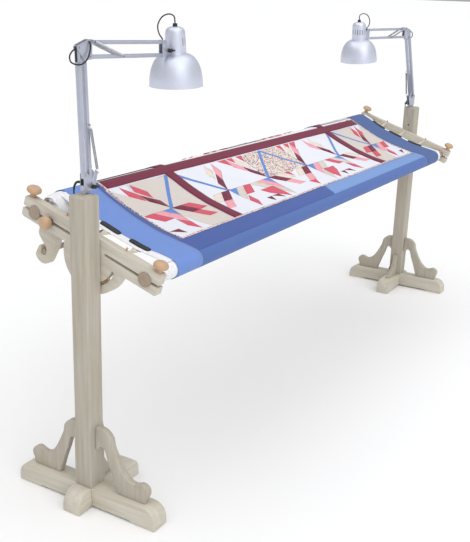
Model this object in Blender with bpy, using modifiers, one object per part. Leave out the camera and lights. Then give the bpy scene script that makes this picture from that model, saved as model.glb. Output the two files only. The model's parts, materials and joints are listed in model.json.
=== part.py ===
"""Hand-quilting floor frame: two post stands, two tilting side arms that hold a quilt
between a front and a rear roller, a batting bar, and a swing-arm lamp on each post.

Metres, +Z up. X runs along the quilt, -Y is the quilter's side, the floor is z = 0.
The origin is on the floor, midway between the two posts.
"""
import math

import bmesh
import bpy
from mathutils import Matrix, Vector

# ---------------------------------------------------------------- driving dimensions
SPAN = 2.870            # between the centres of the two posts
GAP = 0.0003            # between pieces that touch
RUN = 0.0003            # radial clearance of a turning fit

# stands
POST = 0.070            # side of the square post
POST_TOP = 1.076        # height of the post top
POST_CHAMFER = 0.006    # leg of the chamfer on the long edges
CHAMFER_START = 0.279   # height where the chamfers begin
TOP_ROUND = 0.008       # rounding of the top edges
FOOT_WIDTH = 0.070
FOOT_HEIGHT = 0.072
FOOT_REACH = 0.295      # long foot, post centre to each end
FOOT_ROUND = 0.047      # upper corners of the foot ends
FOOT_RELIEF = 0.006     # hollow under a foot, between its pads
PAD_LENGTH = 0.095
STUB_REACH = 0.101      # cross foot, outer side
INNER_REACH = 0.227     # cross foot, inner side
BRACKET_THICK = 0.025
BRACKET_HEIGHT = 0.222
BRACKET_REACH = 0.205
SCROLL = 0.0265         # radius of the ball at the end of a long bracket
INNER_BRACKET = 0.118   # height and reach of the small bracket

# tilting head
PIVOT_Z = 0.866         # height of the tilt pivot
TILT = math.radians(17.6)
ARM_THICK = 0.0295
ARM_FRONT = 0.258       # pivot to the front end, along the arm
ARM_REAR = 0.315        # pivot to the rear end
ARM_TOP = 0.071         # top edge above the pivot, square to the arm
ARM_BOTTOM = -0.004
ARM_END_ROUND = 0.010
KERF = 0.010            # clamping saw cut
KERF_V = 0.030          # height of its middle
KERF_STOP = 0.040       # solid wood left on each side of the pivot
SECTOR = 0.122          # radius of the plate under the arm
SLOT_RADIUS = 0.088     # curved locking slot
SLOT_WIDTH = 0.012
SLOT_FRONT = math.radians(189)
SLOT_REAR = math.radians(322)
HEIGHT_HOLES = (0.067, 0.109)   # spare holes above the pivot

# rollers and quilt
ROLLER_R = 0.0235
ROLLER_FROM_END = 0.052
ROLLER_PROUD = 0.005    # roller end beyond the arm's outer face
FRONT_WRAP_R = 0.034    # quilt start wound on the front roller
REAR_WRAP_R = 0.051     # the rest of the quilt on the rear roller
WRAP_INSET = 0.036      # wound cloth ends this far inside the arms
PANEL_INSET = 0.070     # stretched quilt ends this far inside the arms
QUILT_THICK = 0.007
QUILT_DIP = 0.022

# bolts and knobs
BOLT_R = 0.003
PIVOT_BOLT_R = 0.005
KNOB_R = 0.025
KNOB_HEIGHT = 0.037
KNOB_NECK_R = 0.0095
CLAMP_FROM_END = 0.019
BALL_R = 0.0235
HOOK_BOLT_U = 0.195

# batting bar and its hooks
HOOK_THICK = 0.027
BAR_R = 0.0095
BAR_U = 0.218           # bar centre, along the arm from the pivot
BAR_V = -0.103          # and square to it
HOOK_WALL = 0.026       # wood outside the bar's seat

# lamps
TUBE = 0.012            # square tube
TUBE_WALL = 0.001
PLATE = 0.0015
PIN_R = 0.0025
LOWER_ARM = 0.378       # pivot to pivot
UPPER_ARM = 0.378
BASE_PIVOT_Z = 0.060    # lower pivot above the post top
LOWER_PAIR = Vector((0.028, -0.026))    # from one lower tube's pivot to the other's
UPPER_PAIR = 0.042      # between the two upper tubes' pivots
ELBOW = Vector((0.050, 0.014))          # from the lower pivot to the top upper pivot
SPIGOT_R = 0.0055
SPIGOT_DEPTH = 0.055
SHADE_PIVOT = Vector((0.030, -0.028))   # from the top upper pivot
SHADE_AXIS = 0.050      # shade centre line in front of its pivot
SHADE_R = 0.0925
SHADE_HEIGHT = 0.106    # bell only
NECK_R = 0.0365
NECK_HEIGHT = 0.089
SHADE_TOP = 0.074       # neck top above the shade's pivot
SHADE_WALL = 0.0012
BULB_R = 0.030

# mains leads
LEAD_R = 0.0025
COIL_R = 0.0285         # middle of the turns
COIL_WIDE = 0.0102      # two turns side by side
COIL_HIGH = 0.0102      # and two on each other

ROUND = 24              # sides of an ordinary turned piece

# ---------------------------------------------------------------- derived places
POST_X = SPAN / 2
ARM_OUTER = POST_X - POST / 2 - GAP     # outer face of an arm, from the middle
ARM_INNER = ARM_OUTER - ARM_THICK
ARM_MID = (ARM_OUTER + ARM_INNER) / 2
FRONT_U = -ARM_FRONT + ROLLER_FROM_END
REAR_U = ARM_REAR - ROLLER_FROM_END


# ---------------------------------------------------------------- building helpers
def clear_scene():
    for old in list(bpy.data.objects):
        bpy.data.objects.remove(old, do_unlink=True)


def finish_colour(name, colour, roughness, metallic=0.0):
    """A plain Principled material."""
    made = bpy.data.materials.new(name)
    made.use_nodes = True
    shader = made.node_tree.nodes["Principled BSDF"]
    shader.inputs["Base Color"].default_value = (*colour, 1)
    shader.inputs["Roughness"].default_value = roughness
    shader.inputs["Metallic"].default_value = metallic
    return made


def from_bmesh(shape):
    mesh = bpy.data.meshes.new("shape")
    shape.to_mesh(mesh)
    shape.free()
    return mesh


def baked(made):
    """The evaluated mesh of an object, a curve's loose caps welded; the object is removed."""
    graph = bpy.context.evaluated_depsgraph_get()
    graph.update()
    mesh = bpy.data.meshes.new_from_object(made.evaluated_get(graph))
    if made.type == "CURVE":
        shape = bmesh.new()
        shape.from_mesh(mesh)
        bmesh.ops.remove_doubles(shape, verts=shape.verts, dist=1e-6)
        shape.to_mesh(mesh)
        shape.free()
    bpy.data.objects.remove(made, do_unlink=True)
    return mesh


def temporary(data):
    made = bpy.data.objects.new("working", data)
    bpy.context.scene.collection.objects.link(made)
    return made


def box(low, high):
    """A box between two corners."""
    low, high = Vector(low), Vector(high)
    shape = bmesh.new()
    bmesh.ops.create_cube(shape, size=1)
    bmesh.ops.scale(shape, vec=high - low, verts=shape.verts)
    bmesh.ops.translate(shape, vec=(low + high) / 2, verts=shape.verts)
    return from_bmesh(shape)


def rod(start, end, radius, sides=ROUND):
    """A closed cylinder between two points."""
    start, end = Vector(start), Vector(end)
    along = end - start
    turn = along.to_track_quat("Z", "Y").to_matrix().to_4x4()
    shape = bmesh.new()
    bmesh.ops.create_cone(shape, cap_ends=True, segments=sides, radius1=radius, radius2=radius,
                          depth=along.length, matrix=Matrix.Translation((start + end) / 2) @ turn)
    return from_bmesh(shape)


def square_bar(start, end, side):
    """A square bar in the XZ plane between two points."""
    start, end = Vector(start), Vector(end)
    along = end - start
    shape = bmesh.new()
    bmesh.ops.create_cube(shape, size=1)
    bmesh.ops.scale(shape, vec=(side, side, along.length), verts=shape.verts)
    turn = Matrix.Rotation(math.atan2(along.x, along.z), 4, "Y")
    shape.transform(Matrix.Translation((start + end) / 2) @ turn)
    return from_bmesh(shape)


def plate(outline, low, high, plane):
    """A flat outline given a thickness. plane "yz" spans x = low..high, and "xz" y = low..high."""
    curve = bpy.data.curves.new("outline", "CURVE")
    curve.dimensions = "2D"
    curve.fill_mode = "BOTH"
    curve.extrude = (high - low) / 2
    line = curve.splines.new("POLY")
    line.points.add(len(outline) - 1)
    for point, (a, b) in zip(line.points, outline):
        point.co = (a, b, 0, 1)
    line.use_cyclic_u = True
    mesh = baked(temporary(curve))
    middle = (low + high) / 2
    if plane == "yz":
        mesh.transform(Matrix(((0, 0, 1, middle), (1, 0, 0, 0), (0, 1, 0, 0), (0, 0, 0, 1))))
    else:
        mesh.transform(Matrix(((1, 0, 0, 0), (0, 0, -1, middle), (0, 1, 0, 0), (0, 0, 0, 1))))
    return mesh


def turned(profile, steps=ROUND):
    """A profile of (radius, height) pairs, top to bottom on its outer side, turned about Z."""
    mesh = bpy.data.meshes.new("profile")
    closed = profile[0] == profile[-1]
    points = profile[:-1] if closed else profile
    edges = [(i, i + 1) for i in range(len(points) - 1)]
    if closed:
        edges.append((len(points) - 1, 0))
    mesh.from_pydata([(r, 0, z) for r, z in points], edges, [])
    made = temporary(mesh)
    screw = made.modifiers.new("turn", "SCREW")
    screw.steps = screw.render_steps = steps
    screw.use_merge_vertices = True
    screw.merge_threshold = 0.000001
    return baked(made)


def combine(mesh, tools, operation):
    """One EXACT Boolean of a mesh with each tool in turn."""
    made = temporary(mesh)
    spent = []
    for tool in tools:
        spent.append(temporary(tool))
        step = made.modifiers.new("step", "BOOLEAN")
        step.operation = operation
        step.object = spent[-1]
        step.solver = "EXACT"
    result = baked(made)
    for tool in spent:
        bpy.data.objects.remove(tool, do_unlink=True)
    return result


def cut(mesh, *tools):
    return combine(mesh, tools, "DIFFERENCE")


def join(mesh, *tools):
    return combine(mesh, tools, "UNION")


def moved(mesh, matrix):
    mesh = mesh.copy()
    mesh.transform(matrix)
    if matrix.is_negative:
        mesh.flip_normals()
    return mesh


def along_x(mesh, sign=1):
    """Turns a mesh made about Z to stand about X, its top at +X for sign 1."""
    return moved(mesh, Matrix.Rotation(math.radians(90 * sign), 4, "Y"))


def arc(centre, radius, start, end, steps):
    """Points on an arc between two angles in radians."""
    turn = [start + (end - start) * i / steps for i in range(steps + 1)]
    return [(centre[0] + radius * math.cos(a), centre[1] + radius * math.sin(a)) for a in turn]


def frame(name, parent=None, place=(0, 0, 0), turn=(0, 0, 0)):
    """An empty that carries pieces and marks a joint's axis."""
    empty = bpy.data.objects.new(name, None)
    empty.empty_display_size = 0.03
    empty.location = place
    empty.rotation_euler = turn
    empty.parent = parent
    PIECES.objects.link(empty)
    return empty


def piece(name, mesh, finish, parent):
    """A finished sub-part on its carrying frame."""
    made = bpy.data.objects.new(name, mesh)
    mesh.name = name
    mesh.materials.clear()
    mesh.materials.append(finish)
    mesh.shade_smooth()
    mesh.set_sharp_from_angle(angle=math.radians(30))
    made.parent = parent
    PIECES.objects.link(made)
    return made


# ---------------------------------------------------------------- stands
def post_mesh(inner):
    """Square post with stopped chamfers and a rounded top; inner is the side of the arm."""
    bottom = FOOT_HEIGHT + GAP
    sections = [(bottom, 0.001, 0), (CHAMFER_START, 0.001, 0)]
    for part in (0.25, 0.6, 0.9, 1.0):
        sections.append((CHAMFER_START + 0.026 * part, POST_CHAMFER * math.sin(part * math.pi / 2), 0))
    for turn in (0, 30, 60, 90):
        angle = math.radians(turn)
        sections.append((POST_TOP - TOP_ROUND * (1 - math.sin(angle)), POST_CHAMFER,
                         TOP_ROUND * (1 - math.cos(angle))))
    shape = bmesh.new()
    rings = []
    for z, leg, inset in sections:
        half = POST / 2 - inset
        near = half - leg
        corners = [(half, -near), (half, near), (near, half), (-near, half),
                   (-half, near), (-half, -near), (-near, -half), (near, -half)]
        rings.append([shape.verts.new((x, y, z)) for x, y in corners])
    for lower, upper in zip(rings, rings[1:]):
        for i in range(8):
            j = (i + 1) % 8
            shape.faces.new((lower[i], lower[j], upper[j], upper[i]))
    shape.faces.new(rings[-1])
    shape.faces.new(rings[0][::-1])
    mesh = from_bmesh(shape)
    face = inner * POST / 2
    holes = [rod((0, 0, POST_TOP - SPIGOT_DEPTH - 0.002), (0, 0, POST_TOP + 0.01), SPIGOT_R + RUN)]
    bolts = [(PIVOT_Z, PIVOT_BOLT_R + RUN), (PIVOT_Z - SLOT_RADIUS, BOLT_R + RUN)]
    bolts += [(PIVOT_Z + rise, PIVOT_BOLT_R + RUN) for rise in HEIGHT_HOLES]
    for z, radius in bolts:
        holes.append(rod((face - inner * 0.045, 0, z), (face + inner * 0.01, 0, z), radius, 16))
    return cut(mesh, *holes)


def foot_outline(back, front, notch_low, notch_high):
    """Side view of a foot beam: rounded upper ends, pads, and the halving notch."""
    pad = min(PAD_LENGTH, 0.4 * back)
    steps = 5
    half = FOOT_WIDTH / 2 + GAP
    line = [(-back, 0), (-back + pad, 0), (-back + pad + 0.008, FOOT_RELIEF)]
    if notch_low:
        line += [(-half, FOOT_RELIEF), (-half, FOOT_HEIGHT / 2), (half, FOOT_HEIGHT / 2), (half, FOOT_RELIEF)]
    line += [(front - PAD_LENGTH - 0.008, FOOT_RELIEF), (front - PAD_LENGTH, 0), (front, 0)]
    line += arc((front - FOOT_ROUND, FOOT_HEIGHT - FOOT_ROUND), FOOT_ROUND, 0, math.pi / 2, steps)
    if notch_high:
        low = FOOT_HEIGHT / 2 - GAP
        line += [(half, FOOT_HEIGHT), (half, low), (-half, low), (-half, FOOT_HEIGHT)]
    line += arc((-back + FOOT_ROUND, FOOT_HEIGHT - FOOT_ROUND), FOOT_ROUND, math.pi / 2, math.pi, steps)
    return line


def long_bracket_outline():
    """Side view of a scroll bracket: out from the post face, and up from the foot."""
    low = FOOT_HEIGHT + GAP
    ball = (BRACKET_REACH - 0.015, 0.041)
    line = [(0.090, 0), (BRACKET_REACH, 0)]
    line += arc(ball, SCROLL, math.radians(-40), math.radians(125), 7)
    line += [(0.160, 0.0575), (0.147, 0.059), (0.133, 0.066), (0.113, 0.085), (0.098, 0.108),
             (0.083, 0.137), (0.070, 0.165)]
    line += arc((0.018, BRACKET_HEIGHT - 0.052), 0.052, math.radians(25), math.radians(80), 3)
    line += [(0, BRACKET_HEIGHT), (0, 0.139), (0.010, 0.140)]
    line += arc((0.0265, 0.141), 0.0145, math.radians(160), math.radians(10), 4)
    line += [(0.051, 0.110), (0.068, 0.067)]
    return [(POST / 2 + GAP + r, low + z) for r, z in line]


def inner_bracket_outline():
    """Side view of the small bracket: a hollow-cut triangle."""
    low = FOOT_HEIGHT + GAP
    size = INNER_BRACKET
    line = [(0, 0), (size, 0), (size, 0.006)]
    for part in (0.15, 0.35, 0.55, 0.75, 0.9):
        angle = part * math.pi / 2
        line.append((size - (size - 0.016) * math.sin(angle), size - (size - 0.006) * math.cos(angle)))
    line += [(0.014, size - 0.008), (0.009, size - 0.001), (0, size)]
    return [(POST / 2 + GAP + r, low + z) for r, z in line]


def make_stand(side, sign):
    """One stand. sign is -1 for the left stand and +1 for the right one."""
    base = frame(side + "_stand", place=(sign * POST_X, 0, 0))
    piece(side + "_post", post_mesh(-sign), WOOD, base)
    half = FOOT_WIDTH / 2
    piece(side + "_long_foot", plate(foot_outline(FOOT_REACH, FOOT_REACH, True, False), -half, half, "yz"),
          WOOD, base)
    cross = plate(foot_outline(STUB_REACH, INNER_REACH, False, True), -half, half, "xz")
    piece(side + "_cross_foot", moved(cross, Matrix.Diagonal((-sign, 1, 1, 1))), WOOD, base)
    half = BRACKET_THICK / 2
    outline = long_bracket_outline()
    rear = plate(outline, -half, half, "yz")
    piece(side + "_rear_bracket", rear, WOOD, base)
    piece(side + "_front_bracket", moved(rear, Matrix.Diagonal((1, -1, 1, 1))), WOOD, base)
    inner = plate(inner_bracket_outline(), -half, half, "xz")
    piece(side + "_inner_bracket", moved(inner, Matrix.Diagonal((-sign, 1, 1, 1))), WOOD, base)
    return base


# ---------------------------------------------------------------- knobs
def mushroom(stud_length, sides=16):
    """Mushroom knob standing on z = 0, with its stud below."""
    top = KNOB_HEIGHT
    profile = [(0, top), (KNOB_R * 0.55, top - 0.0025), (KNOB_R * 0.9, top - 0.008), (KNOB_R, top - 0.015),
               (KNOB_R * 0.85, top - 0.021), (KNOB_NECK_R, top - 0.026), (KNOB_NECK_R + 0.001, 0),
               (BOLT_R, 0), (BOLT_R, -stud_length), (0, -stud_length)]
    return turned(profile, sides)


def ball_knob(stud_length):
    """Ball knob on a washer standing on z = 0, with its stud below."""
    profile = [(0, 0.040), (BALL_R * 0.6, 0.037), (BALL_R * 0.93, 0.029), (BALL_R, 0.021),
               (BALL_R * 0.87, 0.012), (BALL_R * 0.6, 0.006), (0.010, 0.003), (0.017, 0.003), (0.017, 0),
               (BOLT_R, 0), (BOLT_R, -stud_length), (0, -stud_length)]
    return turned(profile, 20)


def wing_knob(stud_length):
    """Two-winged plastic knob standing on z = 0."""
    hub = turned([(0, 0.012), (0.006, 0.012), (0.007, 0), (0.002, 0), (0.002, -stud_length),
                  (0, -stud_length)], 12)
    return join(hub, box((-0.014, -0.0022, 0.004), (0.014, 0.0022, 0.016)))


# ---------------------------------------------------------------- side arms
def board_outline():
    """Side view of an arm's board, rounded at the rear and nipped at the front."""
    nose = 0.004
    line = [(-ARM_FRONT, ARM_BOTTOM + nose), (-ARM_FRONT + nose, ARM_BOTTOM)]
    line += arc((ARM_REAR - ARM_END_ROUND, ARM_BOTTOM + ARM_END_ROUND), ARM_END_ROUND,
                math.radians(-90), 0, 3)
    line += arc((ARM_REAR - ARM_END_ROUND, ARM_TOP - ARM_END_ROUND), ARM_END_ROUND, 0,
                math.radians(90), 3)
    return line + [(-ARM_FRONT + nose, ARM_TOP), (-ARM_FRONT, ARM_TOP - nose)]


def sector_outline():
    """The round plate under an arm, its flat side inside the board."""
    rise = math.asin((KERF_V - KERF) / SECTOR)
    return arc((0, 0), SECTOR, math.pi - rise, 2 * math.pi + rise, 24)


def slot_outline():
    """The curved locking slot, its round ends centred on the pivot's circle."""
    half = SLOT_WIDTH / 2
    line = arc((0, 0), SLOT_RADIUS + half, SLOT_FRONT, SLOT_REAR, 14)
    end = (SLOT_RADIUS * math.cos(SLOT_REAR), SLOT_RADIUS * math.sin(SLOT_REAR))
    line += arc(end, half, SLOT_REAR, SLOT_REAR + math.pi, 6)[1:-1]
    line += arc((0, 0), SLOT_RADIUS - half, SLOT_REAR, SLOT_FRONT, 14)
    end = (SLOT_RADIUS * math.cos(SLOT_FRONT), SLOT_RADIUS * math.sin(SLOT_FRONT))
    line += arc(end, half, SLOT_FRONT + math.pi, SLOT_FRONT + 2 * math.pi, 6)[1:-1]
    return line


def arm_mesh(sign):
    low, high = sorted((sign * ARM_INNER, sign * ARM_OUTER))
    mesh = join(plate(board_outline(), low, high, "yz"), plate(sector_outline(), low, high, "yz"))
    past = 0.01
    tools = [plate(slot_outline(), low - past, high + past, "yz"),
             rod((low - past, 0, 0), (high + past, 0, 0), PIVOT_BOLT_R + RUN, 20)]
    for start, end in ((-ARM_FRONT - past, -KERF_STOP), (KERF_STOP, ARM_REAR + past)):
        tools.append(box((low - past, start, KERF_V - KERF / 2), (high + past, end, KERF_V + KERF / 2)))
    for u in (FRONT_U, REAR_U):
        tools.append(rod((low - past, u, KERF_V), (high + past, u, KERF_V), ROLLER_R + RUN + 0.0001, 32))
    for u in (-ARM_FRONT + CLAMP_FROM_END, ARM_REAR - CLAMP_FROM_END):
        tools.append(rod((sign * ARM_MID, u, ARM_BOTTOM + 0.004), (sign * ARM_MID, u, ARM_TOP + past),
                         BOLT_R + RUN, 12))
    return cut(mesh, *tools)


def hook_outline():
    """Side view of a hook bracket: a hanger board that ends in an open seat for the bar."""
    seat = BAR_R + 0.002
    bar = (BAR_U, BAR_V)
    tip = seat + 0.0125
    line = [(REAR_U - ROLLER_R - 0.015, 0.052), (0.177, 0.052), (0.172, -0.060), (0.183, -0.118)]
    line += arc((BAR_U - 0.002, BAR_V - 0.004), HOOK_WALL + seat, math.radians(222), math.radians(330), 6)
    line += arc((bar[0] + (seat + tip) / 2, bar[1] + 0.010), (tip - seat) / 2, 0, math.pi, 4)
    line += arc(bar, seat, math.radians(20), math.radians(-180), 9)
    line += [(bar[0] - seat, bar[1] + 0.012), (bar[0] - 0.004, bar[1] + 0.022), (0.250, -0.054),
             (0.255, -0.046), (0.255, -0.026), (REAR_U - ROLLER_R - 0.013, -0.006)]
    return line


def hook_mesh(sign):
    outer = ARM_INNER - GAP
    low, high = sorted((sign * outer, sign * (outer - HOOK_THICK)))
    mesh = plate(hook_outline(), low, high, "yz")
    bore = rod((low - 0.01, HOOK_BOLT_U, KERF_V), (high + 0.01, HOOK_BOLT_U, KERF_V), BOLT_R + RUN, 12)
    return cut(mesh, bore)


def make_arm(side, sign, head, base):
    """The pieces of one side arm. Knob frames stand on their own axes."""
    piece(side + "_arm", arm_mesh(sign), WOOD, head)
    piece(side + "_hook_bracket", hook_mesh(sign), WOOD, head)
    for end, u in (("front", -ARM_FRONT + CLAMP_FROM_END), ("rear", ARM_REAR - CLAMP_FROM_END)):
        seat = frame(side + "_" + end + "_clamp_axis", head, (sign * ARM_MID, u, ARM_TOP + GAP))
        piece(side + "_" + end + "_clamp_knob", mushroom(ARM_TOP - ARM_BOTTOM - 0.006), KNOB_WOOD, seat)
    seat = frame(side + "_hook_knob_axis", head, (sign * (ARM_OUTER + GAP), HOOK_BOLT_U, KERF_V))
    reach = ARM_THICK + HOOK_THICK - 0.004
    piece(side + "_hook_knob", along_x(ball_knob(reach), sign), KNOB_WOOD, seat)
    inner = -sign * (POST / 2 + ARM_THICK + 2 * GAP)
    seat = frame(side + "_tilt_knob_axis", base, (inner, 0, PIVOT_Z - SLOT_RADIUS))
    piece(side + "_tilt_knob", along_x(mushroom(ARM_THICK + 0.036), -sign), KNOB_WOOD, seat)
    seat = frame(side + "_pivot_axis", base, (inner, 0, PIVOT_Z))
    profile = [(0, 0.0055), (0.0085, 0.005), (0.0095, 0.0035), (0.0095, 0.002), (0.013, 0.002), (0.013, 0),
               (PIVOT_BOLT_R, 0), (PIVOT_BOLT_R, -ARM_THICK - 0.036), (0, -ARM_THICK - 0.036)]
    piece(side + "_pivot_bolt", along_x(turned(profile, 20), -sign), STEEL, seat)


# ---------------------------------------------------------------- rollers and quilt
def panel_outline():
    """Edge view of the stretched quilt: a shallow sag between the tops of the two rolls."""
    front = (FRONT_U + math.sqrt(FRONT_WRAP_R ** 2 - (FRONT_WRAP_R - QUILT_THICK - 0.001) ** 2) + 0.001,
             KERF_V + FRONT_WRAP_R)
    rear = (REAR_U - math.sqrt(REAR_WRAP_R ** 2 - (REAR_WRAP_R - QUILT_THICK - 0.001) ** 2) - 0.001,
            KERF_V + REAR_WRAP_R)
    steps = 12
    top = []
    for i in range(steps + 1):
        part = i / steps
        sag = QUILT_DIP * 4 * part * (1 - part)
        top.append((front[0] + (rear[0] - front[0]) * part, front[1] + (rear[1] - front[1]) * part - sag))
    return [(u, v - QUILT_THICK) for u, v in top] + top[::-1]


def make_rollers(head):
    half = ARM_OUTER + ROLLER_PROUD
    cloth = ARM_INNER - WRAP_INSET
    for end, u, radius in (("front", FRONT_U, FRONT_WRAP_R), ("rear", REAR_U, REAR_WRAP_R)):
        axle = frame(end + "_roller_axis", head, (0, u, KERF_V))
        piece(end + "_roller", rod((-half, 0, 0), (half, 0, 0), ROLLER_R, 32), ROLLER_WOOD, axle)
        inside = ROLLER_R + GAP + 0.0001
        profile = [(radius, cloth), (radius, -cloth), (inside, -cloth), (inside, cloth), (radius, cloth)]
        piece(end + "_quilt_roll", along_x(turned(profile, 32)), QUILT, axle)
    half = ARM_INNER - PANEL_INSET
    piece("quilt_panel", plate(panel_outline(), -half, half, "yz"), QUILT, head)
    half = ARM_INNER - 0.002
    axle = frame("batting_bar_axis", head, (0, BAR_U, BAR_V))
    piece("batting_bar", rod((-half, 0, 0), (half, 0, 0), BAR_R, ROUND), ROLLER_WOOD, axle)


# ---------------------------------------------------------------- lamps
def cross_pin(x, z, half, radius=PIN_R, sides=12):
    return rod((x, -half, z), (x, half, z), radius, sides)


def side_plates(outline):
    """A pair of plates with room for a square tube between them."""
    inside = TUBE / 2 + 0.0004
    near = plate(outline, inside, inside + PLATE, "xz")
    far = plate(outline, -inside - PLATE, -inside, "xz")
    return near, far, inside + PLATE / 2


def lamp_tube(length, back, ahead):
    """A square tube along +X from its pivot at the origin, bored at both pivots."""
    bar = square_bar((-back, 0, 0), (length + ahead, 0, 0), TUBE)
    bore = square_bar((-2 * back, 0, 0), (length + 2 * ahead, 0, 0), TUBE - 2 * TUBE_WALL)
    holes = [cross_pin(x, 0, TUBE, PIN_R + RUN + 0.0001) for x in (0, length)]
    return cut(bar, bore, *holes)


def base_mesh():
    """Spigot, socket block, side plates and the two lower pins, about the post-top centre."""
    a = Vector((0, BASE_PIVOT_Z))
    b = a + LOWER_PAIR
    outline = [(-0.007, a.y + 0.006), (-0.007, 0.012), (0.020, 0.004), (0.043, 0.010), (0.060, 0.060),
               (0.050, 0.071), (b.x + 0.005, b.y + 0.014), (0.007, a.y + 0.007), (0, a.y + 0.008)]
    near, far, mid = side_plates(outline)
    block = box((-0.0068, -mid, 0.0125), (0.014, mid, 0.028))
    spigot = rod((0, 0, -SPIGOT_DEPTH), (0, 0, 0.020), SPIGOT_R, ROUND)
    anchors = []
    for side in (-1, 1):
        anchors.append(rod((0.053, side * mid, 0.062), (0.053, side * (mid + 0.009), 0.062), 0.002, 12))
    whole = join(block, near, far, spigot, cross_pin(a.x, a.y, mid), cross_pin(b.x, b.y, mid), *anchors)
    return cut(whole, rod((0.034, -0.02, 0.020), (0.034, 0, 0.020), 0.002 + RUN, 12))


def elbow_mesh():
    """Side plates with their four pins, about the first lower pivot."""
    b = LOWER_PAIR
    c = ELBOW
    d = ELBOW - Vector((0, UPPER_PAIR))
    outline = [(-0.008, -0.004), (b.x - 0.004, b.y - 0.010), (b.x + 0.004, b.y - 0.010),
               (d.x + 0.005, d.y - 0.008), (d.x + 0.009, d.y), (c.x + 0.009, c.y), (c.x + 0.004, c.y + 0.009),
               (c.x - 0.006, c.y + 0.009), (-0.002, 0.009), (-0.008, 0.004)]
    near, far, mid = side_plates(outline)
    pins = [cross_pin(p.x, p.y, mid) for p in (Vector((0, 0)), b, c, d)]
    return join(near, far, *pins)


def head_mesh():
    """Bracket that carries the shade, about the top upper pivot."""
    pivot = SHADE_PIVOT
    low = -UPPER_PAIR
    outline = [(-0.007, 0.007), (-0.007, low - 0.007), (0.002, low - 0.007),
               (pivot.x + 0.006, pivot.y - 0.007), (pivot.x + 0.006, pivot.y + 0.007), (0.010, 0.007)]
    near, far, mid = side_plates(outline)
    web = box((0.013, -mid, low + 0.004), (0.0145, mid, -0.004))
    whole = join(near, far, web, cross_pin(0, 0, mid), cross_pin(0, low, mid))
    return cut(whole, cross_pin(pivot.x, pivot.y, 0.02, 0.002 + RUN))


def shade_mesh():
    """Bell shade with its neck and lug, about its own pivot."""
    x = SHADE_AXIS
    top = SHADE_TOP
    neck = top - NECK_HEIGHT
    outer = [(0.007, top), (NECK_R - 0.020, top - 0.001), (NECK_R - 0.009, top - 0.006),
             (NECK_R - 0.004, top - 0.016), (NECK_R, neck + 0.002)]
    for part in (0.12, 0.28, 0.46, 0.64, 0.82, 1.0):
        angle = part * math.pi / 2
        outer.append((NECK_R + (SHADE_R - NECK_R) * math.sin(angle),
                      neck - SHADE_HEIGHT * (1 - math.cos(angle) ** 0.9)))
    inner = []
    for i, (r, z) in enumerate(outer):
        inner.append((r if i == 0 else r - SHADE_WALL, z - SHADE_WALL if i < 3 else z))
    profile = outer + inner[::-1] + outer[:1]
    bell = moved(turned(profile, 24), Matrix.Translation((x, 0, 0)))
    lug = box((-0.006, -0.005, -0.006), (x - NECK_R + 0.0012 + 0.002, 0.005, 0.006))
    return cut(join(bell, lug), cross_pin(0, 0, 0.02, 0.002 + RUN))


def bulb_mesh():
    """Lamp holder and bulb in one, hanging from the inside of the neck top."""
    top = SHADE_TOP - SHADE_WALL - GAP
    low = top - 0.060
    profile = [(0, top), (0.0065, top), (0.0065, top - 0.004), (0.012, top - 0.004), (0.019, top - 0.009),
               (0.019, low)]
    centre = low - 0.046
    for turn in (50, 25, 0, -30, -60):
        angle = math.radians(turn)
        profile.append((BULB_R * math.cos(angle), centre + BULB_R * math.sin(angle)))
    profile.append((0, centre - BULB_R))
    return moved(turned(profile, 20), Matrix.Translation((SHADE_AXIS, 0, 0)))


def make_lamp(side, sign, heading, lower, upper, nod):
    """A swing-arm lamp. Angles in degrees: plan heading, both arms above level, shade nod."""
    name = side + "_lamp_"
    base = frame(name + "swivel", place=(sign * POST_X, 0, POST_TOP), turn=(0, 0, math.radians(heading)))
    piece(name + "base", base_mesh(), SILVER, base)
    seat = frame(name + "base_wing_axis", base, (0.034, -TUBE / 2 - 0.0004 - PLATE - GAP, 0.020),
                 (math.radians(90), 0, 0))
    piece(name + "base_wing", wing_knob(0.004), BLACK, seat)
    lean = (0, -math.radians(lower), 0)
    pivot = frame(name + "lower_axis", base, (0, 0, BASE_PIVOT_Z), lean)
    piece(name + "lower_tube_a", lamp_tube(LOWER_ARM, 0.010, 0.007), SILVER, pivot)
    second = frame(name + "lower_pair_axis", base, (LOWER_PAIR.x, 0, BASE_PIVOT_Z + LOWER_PAIR.y), lean)
    piece(name + "lower_tube_b", lamp_tube(LOWER_ARM, 0.007, 0.007), SILVER, second)
    elbow = frame(name + "elbow_axis", pivot, (LOWER_ARM, 0, 0), (0, math.radians(lower), 0))
    piece(name + "elbow", elbow_mesh(), SILVER, elbow)
    rise = (0, -math.radians(upper), 0)
    pivot = frame(name + "upper_axis", elbow, (ELBOW.x, 0, ELBOW.y), rise)
    piece(name + "upper_tube_a", lamp_tube(UPPER_ARM, 0.007, 0.007), SILVER, pivot)
    second = frame(name + "upper_pair_axis", elbow, (ELBOW.x, 0, ELBOW.y - UPPER_PAIR), rise)
    piece(name + "upper_tube_b", lamp_tube(UPPER_ARM, 0.007, 0.007), SILVER, second)
    head = frame(name + "head_axis", pivot, (UPPER_ARM, 0, 0), (0, math.radians(upper), 0))
    piece(name + "head", head_mesh(), SILVER, head)
    place = (SHADE_PIVOT.x, 0, SHADE_PIVOT.y)
    tilt = frame(name + "shade_axis", head, place, (0, math.radians(nod), 0))
    piece(name + "shade", shade_mesh(), SILVER, tilt)
    piece(name + "bulb", bulb_mesh(), GLASS, tilt)
    out = TUBE / 2 + 0.0004 + PLATE + GAP
    seat = frame(name + "shade_wing_axis", head, (place[0], -out, place[2]), (math.radians(90), 0, 0))
    piece(name + "shade_wing", wing_knob(2 * out - 0.001), BLACK, seat)


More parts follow.
